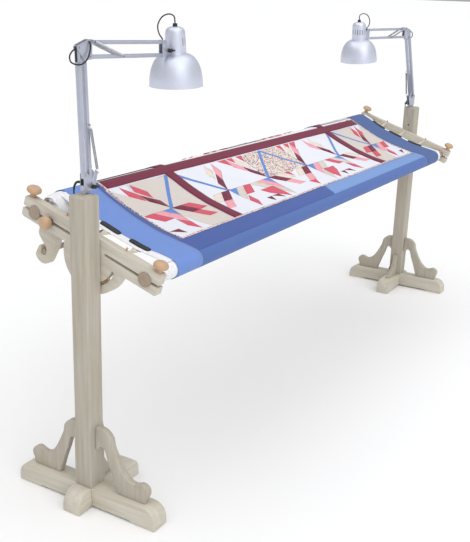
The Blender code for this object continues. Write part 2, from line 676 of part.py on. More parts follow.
# ---------------------------------------------------------------- mains leads
# Points of a lead from its lamp base to its coil, about the post centre on the floor. It runs
# down the rear face of the post, and past the long foot on its +X side: on the left stand that
# is the inner side, and on the right stand the outer one.
LEAD = [(0, 0.0112, 1.1130), (0, 0.0190, 1.1130), (0.001, 0.0285, 1.1100), (0.002, 0.0370, 1.1010),
        (0.003, 0.0422, 1.0870), (0.005, 0.0428, 1.0600), (0.010, 0.0400, 1.0000), (0.018, 0.0392, 0.9000),
        (0.022, 0.0392, 0.7500), (0.022, 0.0392, 0.5800), (0.022, 0.0392, 0.4200), (0.022, 0.0394, 0.2800),
        (0.024, 0.0420, 0.1800), (0.031, 0.0500, 0.1200), (0.0405, 0.0620, 0.0800), (0.0440, 0.0780, 0.0420),
        (0.0432, 0.0980, 0.0150), (0.0420, 0.1180, 0.0050), (0.0416, 0.1340, 0.0029),
        (0.0416, 0.1538, 0.0028)]
COIL_Y = 0.1755         # middle of the coil behind the post
PLUG_AWAY = (0.0095, 0.0304)    # from there to the plug, past the coil's outer side
LEAD_STEPS = 78         # stretches of the drawn tube


def smooth_line(points, count):
    """Evenly spaced points on a centripetal curve through the given ones."""
    points = [Vector(p) for p in points]
    ends = [2 * points[0] - points[1]] + points + [2 * points[-1] - points[-2]]
    fine = []
    for p0, p1, p2, p3 in zip(ends, ends[1:], ends[2:], ends[3:]):
        t1 = (p1 - p0).length ** 0.5
        t2 = t1 + (p2 - p1).length ** 0.5
        t3 = t2 + (p3 - p2).length ** 0.5
        for i in range(12):
            t = t1 + (t2 - t1) * i / 12
            a1 = p0.lerp(p1, t / t1)
            a2 = p1.lerp(p2, (t - t1) / (t2 - t1))
            a3 = p2.lerp(p3, (t - t2) / (t3 - t2))
            fine.append(a1.lerp(a2, t / t2).lerp(a2.lerp(a3, (t - t1) / (t3 - t1)), (t - t1) / (t2 - t1)))
    fine.append(points[-1])
    travelled = [0.0]
    for a, b in zip(fine, fine[1:]):
        travelled.append(travelled[-1] + (b - a).length)
    even = []
    at = 0
    for i in range(count + 1):
        want = travelled[-1] * i / count
        while at < len(fine) - 2 and travelled[at + 1] < want:
            at += 1
        part = (want - travelled[at]) / (travelled[at + 1] - travelled[at])
        even.append(fine[at].lerp(fine[at + 1], part))
    return even


def lead_mesh():
    curve = bpy.data.curves.new("lead", "CURVE")
    curve.dimensions = "3D"
    curve.bevel_depth = LEAD_R
    curve.bevel_resolution = 2
    curve.use_fill_caps = True
    line = curve.splines.new("POLY")
    places = smooth_line(LEAD, LEAD_STEPS)
    line.points.add(len(places) - 1)
    for point, place in zip(line.points, places):
        point.co = (*place, 1)
    return baked(temporary(curve))


def coil_mesh():
    """The outer shape of the wound lead: a ring with rounded edges lying on the floor."""
    inside, outside = COIL_R - COIL_WIDE / 2, COIL_R + COIL_WIDE / 2
    low, high, ease = 0.0003, 0.0003 + COIL_HIGH, 0.0025
    profile = [(inside + ease, high), (outside - ease, high), (outside, high - ease), (outside, low + ease),
               (outside - ease, low), (inside + ease, low), (inside, low + ease), (inside, high - ease),
               (inside + ease, high)]
    return turned(profile, ROUND)


def plug_mesh():
    """Flat two-pin plug lying along +Y from the origin."""
    body = plate([(-0.004, 0), (0.004, 0), (0.011, 0.012), (0.014, 0.020), (0.014, 0.036), (-0.014, 0.036),
                  (-0.014, 0.020), (-0.011, 0.012)], -0.0065, 0.0065, "xz")
    body = moved(body, Matrix(((1, 0, 0, 0), (0, 0, 1, 0), (0, 1, 0, 0), (0, 0, 0, 1))))
    pins = [rod((x, 0.030, 0), (x, 0.055, 0), 0.002, 10) for x in (-0.0095, 0.0095)]
    return moved(join(body, *pins), Matrix.Translation((0, 0, 0.0068)))


def make_lead(side, sign):
    """A mains lead behind its post, coiled beside the long foot."""
    base = frame(side + "_lead_frame", place=(sign * POST_X, 0, 0))
    piece(side + "_lead", lead_mesh(), BLACK, base)
    place = Vector(LEAD[-1])
    seat = frame(side + "_coil_frame", base, (place.x + COIL_R, COIL_Y, 0))
    piece(side + "_lead_coil", coil_mesh(), BLACK, seat)
    seat = frame(side + "_plug_frame", base, (place.x + PLUG_AWAY[0], COIL_Y + PLUG_AWAY[1], 0))
    piece(side + "_lead_plug", plug_mesh(), BLACK, seat)


# ---------------------------------------------------------------- the whole frame
clear_scene()
PIECES = bpy.data.collections.new("quilting_frame")
bpy.context.scene.collection.children.link(PIECES)
WOOD = finish_colour("pale_wood", (0.75, 0.66, 0.50), 0.55)
KNOB_WOOD = finish_colour("knob_wood", (0.62, 0.40, 0.22), 0.4)
ROLLER_WOOD = finish_colour("roller_wood", (0.45, 0.39, 0.33), 0.7)
QUILT = finish_colour("quilt_cloth", (0.20, 0.30, 0.62), 0.9)
SILVER = finish_colour("silver_paint", (0.62, 0.63, 0.70), 0.35, 0.6)
STEEL = finish_colour("steel", (0.55, 0.55, 0.56), 0.3, 1.0)
BLACK = finish_colour("black_plastic", (0.02, 0.02, 0.025), 0.5)
GLASS = finish_colour("bulb_glass", (0.9, 0.9, 0.88), 0.2)

HEAD = frame("head_pivot", place=(0, 0, PIVOT_Z), turn=(TILT, 0, 0))
for stand_side, stand_sign in (("left", -1), ("right", 1)):
    stand = make_stand(stand_side, stand_sign)
    make_arm(stand_side, stand_sign, HEAD, stand)
make_rollers(HEAD)
make_lamp("left", -1, 0.8, 92.3, -1.8, -3.0)
make_lamp("right", 1, 171.0, 72.4, 0.0, 6.0)
make_lead("left", -1)
make_lead("right", 1)
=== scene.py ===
"""Looks of the hand-quilting frame: pieced quilt, sanded wood, silver lamps, cords and clips.

Metres, +Z up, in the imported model's own frame. "Head" measures follow the tilted side arms:
u runs rearward along an arm from its pivot and v stands square to it.
"""
import json
import math

import bmesh
import bpy
import numpy as np
from mathutils import Matrix, Vector


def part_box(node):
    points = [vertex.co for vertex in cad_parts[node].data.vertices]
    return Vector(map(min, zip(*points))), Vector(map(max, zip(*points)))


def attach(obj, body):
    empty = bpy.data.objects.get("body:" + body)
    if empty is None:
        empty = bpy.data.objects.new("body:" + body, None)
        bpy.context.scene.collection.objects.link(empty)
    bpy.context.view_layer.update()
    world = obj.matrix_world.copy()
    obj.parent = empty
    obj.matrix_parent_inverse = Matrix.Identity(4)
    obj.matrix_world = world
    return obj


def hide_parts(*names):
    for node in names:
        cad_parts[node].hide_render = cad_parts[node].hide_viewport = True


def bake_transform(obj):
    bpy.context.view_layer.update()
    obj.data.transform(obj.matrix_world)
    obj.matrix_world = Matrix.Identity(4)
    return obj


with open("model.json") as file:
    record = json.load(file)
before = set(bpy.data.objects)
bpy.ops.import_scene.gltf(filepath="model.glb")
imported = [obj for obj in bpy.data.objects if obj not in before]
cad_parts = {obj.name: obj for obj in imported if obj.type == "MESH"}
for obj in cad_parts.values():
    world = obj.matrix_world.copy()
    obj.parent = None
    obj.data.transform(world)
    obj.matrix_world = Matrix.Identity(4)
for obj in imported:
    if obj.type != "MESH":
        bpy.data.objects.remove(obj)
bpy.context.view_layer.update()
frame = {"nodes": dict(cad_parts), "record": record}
JOINTS = {j["name"]: j for j in frame["record"]["behaviour"]["joints"]}
SIDES = (("left", -1), ("right", 1))


def joint_at(name):
    return np.array(JOINTS[name]["pos_m"], float)


# ---------------------------------------------------------------- places taken from the frame
POST_LOW, POST_HIGH = (np.array(c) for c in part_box("left_post"))
POST_X = -(POST_LOW[0] + POST_HIGH[0]) / 2
PIVOT = joint_at("head_tilt")
FRONT_AXIS = joint_at("front_roller_turn")
REAR_AXIS = joint_at("rear_roller_turn")
TILT = math.atan2(REAR_AXIS[2] - FRONT_AXIS[2], REAR_AXIS[1] - FRONT_AXIS[1])
ARM_INNER = min(abs(c[0]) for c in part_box("left_arm"))


def head_measures(point):
    """(u, v) of a place in the tilted head."""
    y, z = point[1] - PIVOT[1], point[2] - PIVOT[2]
    return y * math.cos(TILT) + z * math.sin(TILT), -y * math.sin(TILT) + z * math.cos(TILT)


def head_place(x, u, v):
    """World places of head measures, as one array with a last side of 3."""
    x, u, v = np.broadcast_arrays(np.asarray(x, float), u, v)
    y = PIVOT[1] + u * math.cos(TILT) - v * math.sin(TILT)
    z = PIVOT[2] + u * math.sin(TILT) + v * math.cos(TILT)
    return np.stack([x, y, z], axis=-1)


def wrap_radius(node):
    low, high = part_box(node)
    return (high[2] - low[2]) / 2


FRONT_U, ROLLER_V = head_measures(FRONT_AXIS)
REAR_U = head_measures(REAR_AXIS)[0]
FRONT_R = wrap_radius("front_quilt_roll")
REAR_R = wrap_radius("rear_quilt_roll")
ROLLER_R = wrap_radius("front_roller")
ROLL_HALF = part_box("front_quilt_roll")[1][0]
BATTING_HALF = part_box("quilt_panel")[1][0]

# ---------------------------------------------------------------- camera
CAMERA_PLACE = Vector((-3.4325, -1.7292, 1.6906))
CAMERA_YAW = 0.5342     # from +X towards +Y
CAMERA_PITCH = -0.3143
CAMERA_ROLL = 0.0331
CAMERA_LENS = 57.64


def make_camera():
    ahead = Vector((math.cos(CAMERA_YAW) * math.cos(CAMERA_PITCH),
                    math.sin(CAMERA_YAW) * math.cos(CAMERA_PITCH), math.sin(CAMERA_PITCH)))
    level = ahead.cross(Vector((0, 0, 1))).normalized()
    upright = level.cross(ahead)
    across = level * math.cos(CAMERA_ROLL) + upright * math.sin(CAMERA_ROLL)
    up = upright * math.cos(CAMERA_ROLL) - level * math.sin(CAMERA_ROLL)
    camera = bpy.data.objects.new("camera", bpy.data.cameras.new("camera"))
    camera.data.lens = CAMERA_LENS
    camera.data.clip_end = 900
    turn = Matrix((across, up, -ahead)).transposed().to_4x4()
    camera.matrix_world = Matrix.Translation(CAMERA_PLACE) @ turn
    bpy.context.scene.collection.objects.link(camera)
    bpy.context.scene.camera = camera


# ---------------------------------------------------------------- shader helpers
class Nodes:
    """Short calls that add nodes to one tree and join them."""

    def __init__(self, tree):
        self.tree = tree

    def add(self, kind, settings=None, **inputs):
        node = self.tree.nodes.new(kind)
        for key, value in (settings or {}).items():
            setattr(node, key, value)
        for key, value in inputs.items():
            self.put(node.inputs[key.replace("_", " ")], value)
        return node

    def put(self, socket, value):
        if isinstance(value, bpy.types.NodeSocket):
            self.tree.links.new(value, socket)
        else:
            socket.default_value = value

    def maths(self, operation, a, b=0.0, limit=False):
        node = self.tree.nodes.new("ShaderNodeMath")
        node.operation = operation
        node.use_clamp = limit
        self.put(node.inputs[0], a)
        self.put(node.inputs[1], b)
        return node.outputs[0]

    def spread(self, value, low, high, to_low=0.0, to_high=1.0):
        node = self.tree.nodes.new("ShaderNodeMapRange")
        for i, v in enumerate((value, low, high, to_low, to_high)):
            self.put(node.inputs[i], v)
        return node.outputs[0]

    def mix(self, factor, a, b):
        node = self.tree.nodes.new("ShaderNodeMix")
        node.data_type = "RGBA"
        self.put(node.inputs[0], factor)
        self.put(node.inputs[6], a)
        self.put(node.inputs[7], b)
        return node.outputs[2]

    def noise(self, vector, scale, detail=3.0, rough=0.5):
        node = self.add("ShaderNodeTexNoise", Scale=scale, Detail=detail, Roughness=rough)
        self.put(node.inputs["Vector"], vector)
        return node.outputs["Fac"]


def new_group(name, ins, outs):
    """A shader group whose sockets are (name, kind) pairs, with its Nodes and its two ends."""
    tree = bpy.data.node_groups.new(name, "ShaderNodeTree")
    for label, kind in ins:
        tree.interface.new_socket(label, in_out="INPUT", socket_type=kind)
    for label, kind in outs:
        tree.interface.new_socket(label, in_out="OUTPUT", socket_type=kind)
    nodes = Nodes(tree)
    start = tree.nodes.new("NodeGroupInput")
    end = tree.nodes.new("NodeGroupOutput")
    return tree, nodes, start, end


FLOAT = "NodeSocketFloat"
VECTOR = "NodeSocketVector"


def grain_group():
    """Long soft streaks, short pores and slow patches, from a vector whose Z runs along the wood."""
    tree, n, start, end = new_group("wood_grain", [("Vector", VECTOR)],
                                    [("Streak", FLOAT), ("Pore", FLOAT), ("Patch", FLOAT)])
    place = start.outputs["Vector"]
    bend = n.add("ShaderNodeMapping")
    n.put(bend.inputs["Vector"], place)
    bend.inputs["Scale"].default_value = (1, 1, 0.055)
    streak = n.noise(bend.outputs[0], 62, 5, 0.62)
    fine = n.add("ShaderNodeMapping")
    n.put(fine.inputs["Vector"], place)
    fine.inputs["Scale"].default_value = (1, 1, 0.03)
    pore = n.noise(fine.outputs[0], 620, 2, 0.5)
    patch = n.noise(place, 7, 2, 0.5)
    n.put(end.inputs["Streak"], n.spread(streak, 0.3, 0.7))
    n.put(end.inputs["Pore"], n.spread(pore, 0.35, 0.7))
    n.put(end.inputs["Patch"], n.spread(patch, 0.3, 0.7))
    return tree


def weave_group():
    """Plain weave from a map in metres: threads one Pitch apart over and under, and their slubs."""
    tree, n, start, end = new_group("plain_weave", [("Vector", VECTOR), ("Pitch", FLOAT)],
                                    [("Height", FLOAT), ("Slub", FLOAT)])
    split = n.add("ShaderNodeSeparateXYZ")
    n.put(split.inputs[0], start.outputs["Vector"])
    waves = []
    for axis in ("X", "Y"):
        turns = n.maths("DIVIDE", split.outputs[axis], start.outputs["Pitch"])
        waves.append(n.maths("SINE", n.maths("MULTIPLY", turns, 2 * math.pi)))
    height = n.maths("MULTIPLY", waves[0], waves[1])
    n.put(end.inputs["Height"], n.maths("ADD", n.maths("MULTIPLY", height, 0.5), 0.5))
    slub = n.noise(start.outputs["Vector"], 420, 3, 0.7)
    n.put(end.inputs["Slub"], n.spread(slub, 0.3, 0.7))
    return tree


def wear_group():
    """Faint smudges and small specks."""
    tree, n, start, end = new_group("handling_marks", [("Vector", VECTOR), ("Size", FLOAT)],
                                    [("Smudge", FLOAT), ("Speck", FLOAT)])
    smudge = n.noise(start.outputs["Vector"], start.outputs["Size"], 4, 0.6)
    speck = n.noise(start.outputs["Vector"], n.maths("MULTIPLY", start.outputs["Size"], 30), 2, 0.5)
    n.put(end.inputs["Smudge"], n.spread(smudge, 0.35, 0.65))
    n.put(end.inputs["Speck"], n.spread(speck, 0.62, 0.75))
    return tree


GRAIN = grain_group()
WEAVE = weave_group()
WEAR = wear_group()


def new_material(name, **constants):
    """A material with its Nodes, its Principled shader and a bump feeding the shader's normal."""
    made = bpy.data.materials.new(name)
    made.use_nodes = True
    n = Nodes(made.node_tree)
    shader = made.node_tree.nodes["Principled BSDF"]
    for key, value in constants.items():
        shader.inputs[key.replace("_", " ")].default_value = value
    bump = n.add("ShaderNodeBump")
    n.put(shader.inputs["Normal"], bump.outputs[0])
    return made, n, shader, bump


def placed(n, group, vector, **inputs):
    node = n.tree.nodes.new("ShaderNodeGroup")
    node.node_tree = group
    n.put(node.inputs["Vector"], vector)
    for key, value in inputs.items():
        node.inputs[key].default_value = value
    return node.outputs


def tone(colour, factor):
    return (*(min(1.0, c * factor) for c in colour), 1.0)


def linear(red, green, blue):
    """Scene colour of a screen colour given from 0 to 255."""
    out = []
    for value in (red, green, blue):
        c = value / 255
        out.append(c / 12.92 if c <= 0.04045 else ((c + 0.055) / 1.055) ** 2.4)
    return tuple(out)


def wood(name, colour, along, contrast=1.0, roughness=0.5, coat=0.0):
    """Sanded wood. along turns its grain: the rotation that brings the piece's long axis to Z."""
    made, n, shader, bump = new_material(name, Coat_Weight=coat, Coat_Roughness=0.25, Specular_IOR_Level=0.35)
    place = n.add("ShaderNodeTexCoord").outputs["Object"]
    turn = n.add("ShaderNodeMapping")
    n.put(turn.inputs["Vector"], place)
    turn.inputs["Rotation"].default_value = along
    grain = placed(n, GRAIN, turn.outputs[0])
    light = tone(colour, 1.0 + 0.10 * contrast)
    dark = tuple(c * f for c, f in zip(tone(colour, 1.0), (1 - 0.14 * contrast, 1 - 0.19 * contrast,
                                                         1 - 0.30 * contrast, 1.0)))
    body = n.mix(grain["Streak"], dark, light)
    worn = n.mix(n.maths("MULTIPLY", grain["Patch"], 0.35), body, tone(colour, 0.97))
    final = n.mix(n.maths("MULTIPLY", grain["Pore"], 0.16 * contrast), worn, tone(colour, 0.62))
    n.put(shader.inputs["Base Color"], final)
    n.put(shader.inputs["Roughness"], n.spread(grain["Pore"], 0, 1, roughness, roughness + 0.14))
    n.put(bump.inputs["Height"], n.maths("ADD", grain["Pore"], grain["Streak"]))
    bump.inputs["Strength"].default_value = 0.12
    bump.inputs["Distance"].default_value = 0.0006
    return made


def cotton(name, colour, prints=None, sheen=0.12, pitch=0.0008):
    """Woven cotton on the piece's own map. prints are (colour, cell size, share) of small motifs."""
    made, n, shader, bump = new_material(name, Sheen_Weight=sheen, Sheen_Roughness=0.45,
                                         Specular_IOR_Level=0.2)
    own = n.add("ShaderNodeUVMap", {"uv_map": "cloth"}).outputs[0]
    threads = placed(n, WEAVE, own, Pitch=pitch)
    marks = placed(n, WEAR, own, Size=9.0)
    body = n.mix(threads["Slub"], tone(colour, 0.90), tone(colour, 1.06))
    body = n.mix(n.maths("MULTIPLY", marks["Smudge"], 0.25), body, tone(colour, 0.90))
    for motif, size, share in prints or ():
        cells = n.add("ShaderNodeTexVoronoi", {"voronoi_dimensions": "2D"}, Scale=1 / size)
        n.put(cells.inputs["Vector"], own)
        pick = n.add("ShaderNodeSeparateColor")
        n.put(pick.inputs[0], cells.outputs["Color"])
        chosen = n.maths("LESS_THAN", pick.outputs[0], share)
        inside = n.maths("LESS_THAN", cells.outputs["Distance"], n.spread(pick.outputs[1], 0, 1, 0.2, 0.42))
        body = n.mix(n.maths("MULTIPLY", chosen, inside), body, (*motif, 1.0))
    n.put(shader.inputs["Base Color"], body)
    n.put(shader.inputs["Roughness"], n.spread(threads["Slub"], 0, 1, 0.78, 0.92))
    n.put(bump.inputs["Height"], n.maths("ADD", threads["Height"], n.maths("MULTIPLY", threads["Slub"], 0.5)))
    bump.inputs["Strength"].default_value = 0.35
    bump.inputs["Distance"].default_value = 0.0003
    return made


def fluff(name, colour):
    """Loose batting: soft felted hills, no thread."""
    made, n, shader, bump = new_material(name, Sheen_Weight=0.25, Sheen_Roughness=0.6, Specular_IOR_Level=0.1)
    place = n.add("ShaderNodeTexCoord").outputs["Object"]
    hills = n.noise(place, 90, 5, 0.65)
    hairs = n.noise(place, 700, 3, 0.7)
    tufts = n.mix(n.spread(hills, 0.3, 0.7), tone(colour, 0.86), tone(colour, 1.03))
    n.put(shader.inputs["Base Color"], tufts)
    n.put(shader.inputs["Roughness"], n.spread(hairs, 0, 1, 0.85, 1.0))
    n.put(bump.inputs["Height"], n.maths("ADD", hills, n.maths("MULTIPLY", hairs, 0.3)))
    bump.inputs["Strength"].default_value = 0.6
    bump.inputs["Distance"].default_value = 0.0025
    return made


def hard(name, colour, metallic, roughness, flake=0.0, coat=0.0, peel=0.05, size=14.0):
    """Painted, plated or moulded surface with smudges, specks and a trace of orange peel."""
    made, n, shader, bump = new_material(name, Metallic=metallic, Coat_Weight=coat, Coat_Roughness=0.15)
    place = n.add("ShaderNodeTexCoord").outputs["Object"]
    marks = placed(n, WEAR, place, Size=size)
    body = n.mix(n.maths("MULTIPLY", marks["Smudge"], 0.3), tone(colour, 1.0), tone(colour, 0.86))
    if flake:
        grains = n.noise(place, 2600, 1, 0.5)
        body = n.mix(n.maths("MULTIPLY", n.spread(grains, 0.5, 0.75), flake), body, tone(colour, 1.35))
    body = n.mix(n.maths("MULTIPLY", marks["Speck"], 0.25), body, tone(colour, 0.6))
    n.put(shader.inputs["Base Color"], body)
    n.put(shader.inputs["Roughness"], n.spread(marks["Smudge"], 0, 1, roughness, roughness + 0.12))
    n.put(bump.inputs["Height"], n.noise(place, 500, 2, 0.5))
    bump.inputs["Strength"].default_value = peel
    bump.inputs["Distance"].default_value = 0.0004
    return made


PALE = linear(206, 201, 190)
# The posts and brackets take a darker, greyer copy of the same pale wood: painted shade for upright faces,
# which get less of the overhead light.
UPRIGHT_SHADED = linear(184, 178, 167)
QUARTER = math.pi / 2
WOOD_UP_SHADED = wood("pale_wood_upright", UPRIGHT_SHADED, (0, 0, 0))
WOOD_Y = wood("pale_wood_long_foot", PALE, (QUARTER, 0, 0))
WOOD_X = wood("pale_wood_cross_foot", PALE, (0, QUARTER, 0))
WOOD_ARM = wood("pale_wood_arm", PALE, (QUARTER - TILT, 0, 0))
KNOB_WOOD = wood("turned_knob_wood", linear(198, 164, 132), (0, 0, 0), 0.7, 0.32, 0.3)
POLE_WOOD = wood("pole_wood", linear(166, 150, 136), (0, QUARTER, 0), 0.9, 0.6)
SILVER = hard("silver_enamel", linear(214, 218, 233), 0.50, 0.36, flake=0.25, coat=0.10)
STEEL = hard("zinc_plate", linear(176, 176, 180), 1.0, 0.28, size=40.0)
SPRING_STEEL = hard("spring_steel", linear(196, 197, 202), 1.0, 0.34, size=60.0)
BLACK = hard("black_plastic", linear(30, 30, 33), 0.0, 0.42, peel=0.12, size=50.0)
CORD = hard("black_cord", linear(26, 26, 28), 0.0, 0.5, peel=0.15, size=30.0)
TUBE_SILVER = hard("tube_silver", linear(186, 190, 204), 0.55, 0.36, flake=0.20, coat=0.10)
FROSTED = hard("frosted_bulb", linear(240, 240, 236), 0.0, 0.25, coat=0.4)
RIBBON = hard("pale_strap", linear(206, 198, 184), 0.0, 0.7, peel=0.3, size=60.0)
BATTING = fluff("batting", linear(240, 240, 244))

MUSLIN = cotton("white_muslin", linear(230, 232, 240))
BACKING = cotton("cream_backing", linear(226, 220, 208))
BEIGE = cotton("beige_cotton", linear(216, 207, 200))
CREAM = cotton("cream_cotton", linear(232, 220, 208))
RED = cotton("red_cotton", linear(214, 92, 110))
PINK = cotton("pink_cotton", linear(240, 166, 176))
BURGUNDY = cotton("burgundy_cotton", linear(122, 50, 72))
SKY = cotton("sky_blue_cotton", linear(104, 142, 214))
BLUE_NEAR = cotton("light_blue_cotton", linear(116, 147, 213))
BLUE_FRONT = cotton("bright_blue_cotton", linear(124, 157, 212))
BLUE_MID = cotton("middle_blue_cotton", linear(88, 116, 178))
BLUE_DARK = cotton("dark_blue_cotton", linear(76, 98, 164))
BLUE_FAR = cotton("slate_blue_cotton", linear(82, 106, 158))
SPECKS = ((linear(208, 96, 108), 0.010, 0.40), (linear(92, 108, 158), 0.009, 0.40),
          (linear(112, 88, 104), 0.007, 0.30))
FLORAL = cotton("floral_calico", linear(230, 219, 206), SPECKS)
EDGING = cotton("speckled_edging", linear(228, 214, 204), ((linear(206, 84, 96), 0.008, 0.42), SPECKS[1]))


# ---------------------------------------------------------------- mesh helpers
def new_mesh(name, places, faces, cloth_map=None, smooth=True):
    """A mesh from arrays of places and of faces; cloth_map gives each place's map in metres."""
    mesh = bpy.data.meshes.new(name)
    mesh.from_pydata(np.asarray(places, float).reshape(-1, 3), [], np.asarray(faces).tolist())
    if cloth_map is not None:
        layer = mesh.uv_layers.new(name="cloth")
        corner = np.empty(len(mesh.loops), dtype=np.int32)
        mesh.loops.foreach_get("vertex_index", corner)
        layer.data.foreach_set("uv", np.asarray(cloth_map, float).reshape(-1, 2)[corner].ravel())
    mesh.polygons.foreach_set("use_smooth", [smooth] * len(mesh.polygons))
    mesh.validate()
    return mesh


def cleaned(mesh, angle=None, distance=1e-6):
    """The mesh with doubles merged, slivers gone and normals outward; angle keeps edges sharp."""
    shape = bmesh.new()
    shape.from_mesh(mesh)
    bmesh.ops.remove_doubles(shape, verts=shape.verts, dist=distance)
    bmesh.ops.dissolve_degenerate(shape, edges=shape.edges, dist=distance)
    bmesh.ops.recalc_face_normals(shape, faces=shape.faces)
    shape.to_mesh(mesh)
    shape.free()
    if angle is not None:
        mesh.set_sharp_from_angle(angle=math.radians(angle))
    return mesh


def grid_faces(rows, columns, close_rows=False, close_columns=False):
    """Quads between the neighbours of a grid whose places count along its columns first."""
    i = np.arange(rows if close_rows else rows - 1)
    j = np.arange(columns if close_columns else columns - 1)
    i, j = (a.ravel() for a in np.meshgrid(i, j, indexing="ij"))
    k, m = (i + 1) % rows, (j + 1) % columns
    return np.stack([i * columns + j, i * columns + m, k * columns + m, k * columns + j], axis=1)


def put(name, mesh, finish, body, slot, *nodes):
    """A finished piece that rides on a body and may stand for CAD nodes."""
    made = bpy.data.objects.new(name, mesh)
    mesh.materials.clear()
    mesh.materials.append(finish)
    bpy.context.scene.collection.objects.link(made)
    if body:
        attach(made, body)
    if nodes:
        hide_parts(*nodes)
    return made


def applied(made):
    """Bakes the modifiers of an object into its own mesh."""
    graph = bpy.context.evaluated_depsgraph_get()
    graph.update()
    mesh = bpy.data.meshes.new_from_object(made.evaluated_get(graph))
    made.modifiers.clear()
    made.data = mesh
    return made


def turned(profile, steps, frame_matrix=None, angle=35):
    """Surface of revolution: each (radius, height) pair goes round +Z at even angles."""
    profile = np.asarray(profile, float)
    a = np.arange(steps) * 2 * math.pi / steps
    r, z = profile[:, 0][:, None], profile[:, 1][:, None]
    places = np.stack([r * np.cos(a), r * np.sin(a), z + 0 * a], axis=-1)
    mesh = new_mesh("turned", places, grid_faces(len(profile), steps, close_columns=True))
    cleaned(mesh, angle)
    if frame_matrix is not None:
        mesh.transform(frame_matrix)
    return mesh


def eased(points, ease=0.5, steps=4):
    """A profile whose inner corners are rounded: a quadratic curve replaces each share of a side."""
    points = np.asarray(points, float)
    out = [points[0]]
    for before, corner, after in zip(points, points[1:], points[2:]):
        a = corner + (before - corner) * ease * 0.5
        b = corner + (after - corner) * ease * 0.5
        for t in np.linspace(0, 1, steps):
            out.append((1 - t) ** 2 * a + 2 * t * (1 - t) * corner + t * t * b)
    out.append(points[-1])
    return np.array(out)


def swept(path, radius, sides=12, squash=1.0, closed_ends=True):
    """Round tube on a path: its ring is carried along by the smallest turns. radius may vary."""
    path = np.asarray(path, float)
    ahead = np.gradient(path, axis=0)
    ahead /= np.linalg.norm(ahead, axis=1)[:, None]
    side = np.cross(ahead[0], (0.31, 0.17, 0.93))
    sides_of = []
    for way in ahead:
        side = side - way * side.dot(way)
        side = side / np.linalg.norm(side)
        sides_of.append(side)
    across = np.array(sides_of)
    upward = np.cross(ahead, across)
    radius = np.broadcast_to(np.asarray(radius, float), len(path))[:, None, None]
    a = np.arange(sides) * 2 * math.pi / sides
    ring = across[:, None] * np.cos(a)[:, None] + squash * upward[:, None] * np.sin(a)[:, None]
    places = (path[:, None] + radius * ring).reshape(-1, 3)
    faces = grid_faces(len(path), sides, close_columns=True).tolist()
    if closed_ends:
        faces.append(list(range(sides)))
        last = (len(path) - 1) * sides
        faces.append([last + k for k in reversed(range(sides))])
    mesh = bpy.data.meshes.new("swept")
    mesh.from_pydata(places, [], faces)
    mesh.polygons.foreach_set("use_smooth", [True] * len(mesh.polygons))
    return cleaned(mesh, 50)


def smooth_line(points, count):
    """Evenly spaced places on a centripetal Catmull-Rom curve through the given points."""
    points = np.asarray(points, float)
    ends = np.vstack([2 * points[0] - points[1], points, 2 * points[-1] - points[-2]])
    fine = []
    for p0, p1, p2, p3 in zip(ends, ends[1:], ends[2:], ends[3:]):
        t1 = np.linalg.norm(p1 - p0) ** 0.5
        t2 = t1 + np.linalg.norm(p2 - p1) ** 0.5
        t3 = t2 + np.linalg.norm(p3 - p2) ** 0.5
        t = np.linspace(t1, t2, 12, endpoint=False)[:, None]
        a1 = p0 + (p1 - p0) * t / t1
        a2 = p1 + (p2 - p1) * (t - t1) / (t2 - t1)
        a3 = p2 + (p3 - p2) * (t - t2) / (t3 - t2)
        b1 = a1 + (a2 - a1) * t / t2
        b2 = a2 + (a3 - a2) * (t - t1) / (t3 - t1)
        fine.append(b1 + (b2 - b1) * (t - t1) / (t2 - t1))
    fine = np.vstack(fine + [points[-1:]])
    run = np.concatenate([[0], np.cumsum(np.linalg.norm(np.diff(fine, axis=0), axis=1))])
    even = np.linspace(0, run[-1], count + 1)
    return np.stack([np.interp(even, run, fine[:, k]) for k in range(3)], axis=1)


def refined(node, finish, body, slot, width, segments=2, sharp=32):
    """A CAD node's own shape with its sharp edges rounded over and its flats made whole."""
    mesh = frame["nodes"][node].data.copy()
    shape = bmesh.new()
    shape.from_mesh(mesh)
    bmesh.ops.remove_doubles(shape, verts=shape.verts, dist=1e-6)
    bmesh.ops.dissolve_limit(shape, angle_limit=math.radians(0.5), verts=shape.verts, edges=shape.edges)
    shape.to_mesh(mesh)
    shape.free()
    mesh.polygons.foreach_set("use_smooth", [True] * len(mesh.polygons))
    made = put(node + "_finish", mesh, finish, None, slot, node)
    bevel = made.modifiers.new("eased_edges", "BEVEL")
    bevel.width = width
    bevel.segments = segments
    bevel.limit_method = "ANGLE"
    bevel.angle_limit = math.radians(sharp)
    bevel.use_clamp_overlap = True
    bevel.harden_normals = True
    applied(made)
    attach(made, body)
    return made


# ---------------------------------------------------------------- mains leads
LEAD_R = 0.0025
# Points of a lead from its lamp base to its coil, about the post centre on the floor.
LEAD = ((0, 0.0112, 1.1130), (0, 0.0190, 1.1130), (0.001, 0.0285, 1.1100), (0.002, 0.0370, 1.1010),
        (0.003, 0.0422, 1.0870), (0.005, 0.0428, 1.0600), (0.010, 0.0400, 1.0000), (0.018, 0.0392, 0.9000),
        (0.022, 0.0392, 0.7500), (0.022, 0.0392, 0.5800), (0.022, 0.0392, 0.4200), (0.022, 0.0394, 0.2800),
        (0.024, 0.0420, 0.1800), (0.031, 0.0500, 0.1200), (0.0405, 0.0620, 0.0800),
        (0.0440, 0.0780, 0.0420), (0.0432, 0.0980, 0.0150), (0.0420, 0.1180, 0.0050),
        (0.0416, 0.1340, 0.0029), (0.0416, 0.1538, 0.0028))
COIL_OUTER = 0.0310
COIL_INNER = 0.0259
COIL_CENTRE = (0.0701, 0.1755)
LAYER_LOW = 0.0029
LAYER_HIGH = 0.0079
TURN_POINTS = 40
LEAD_STEPS = 230


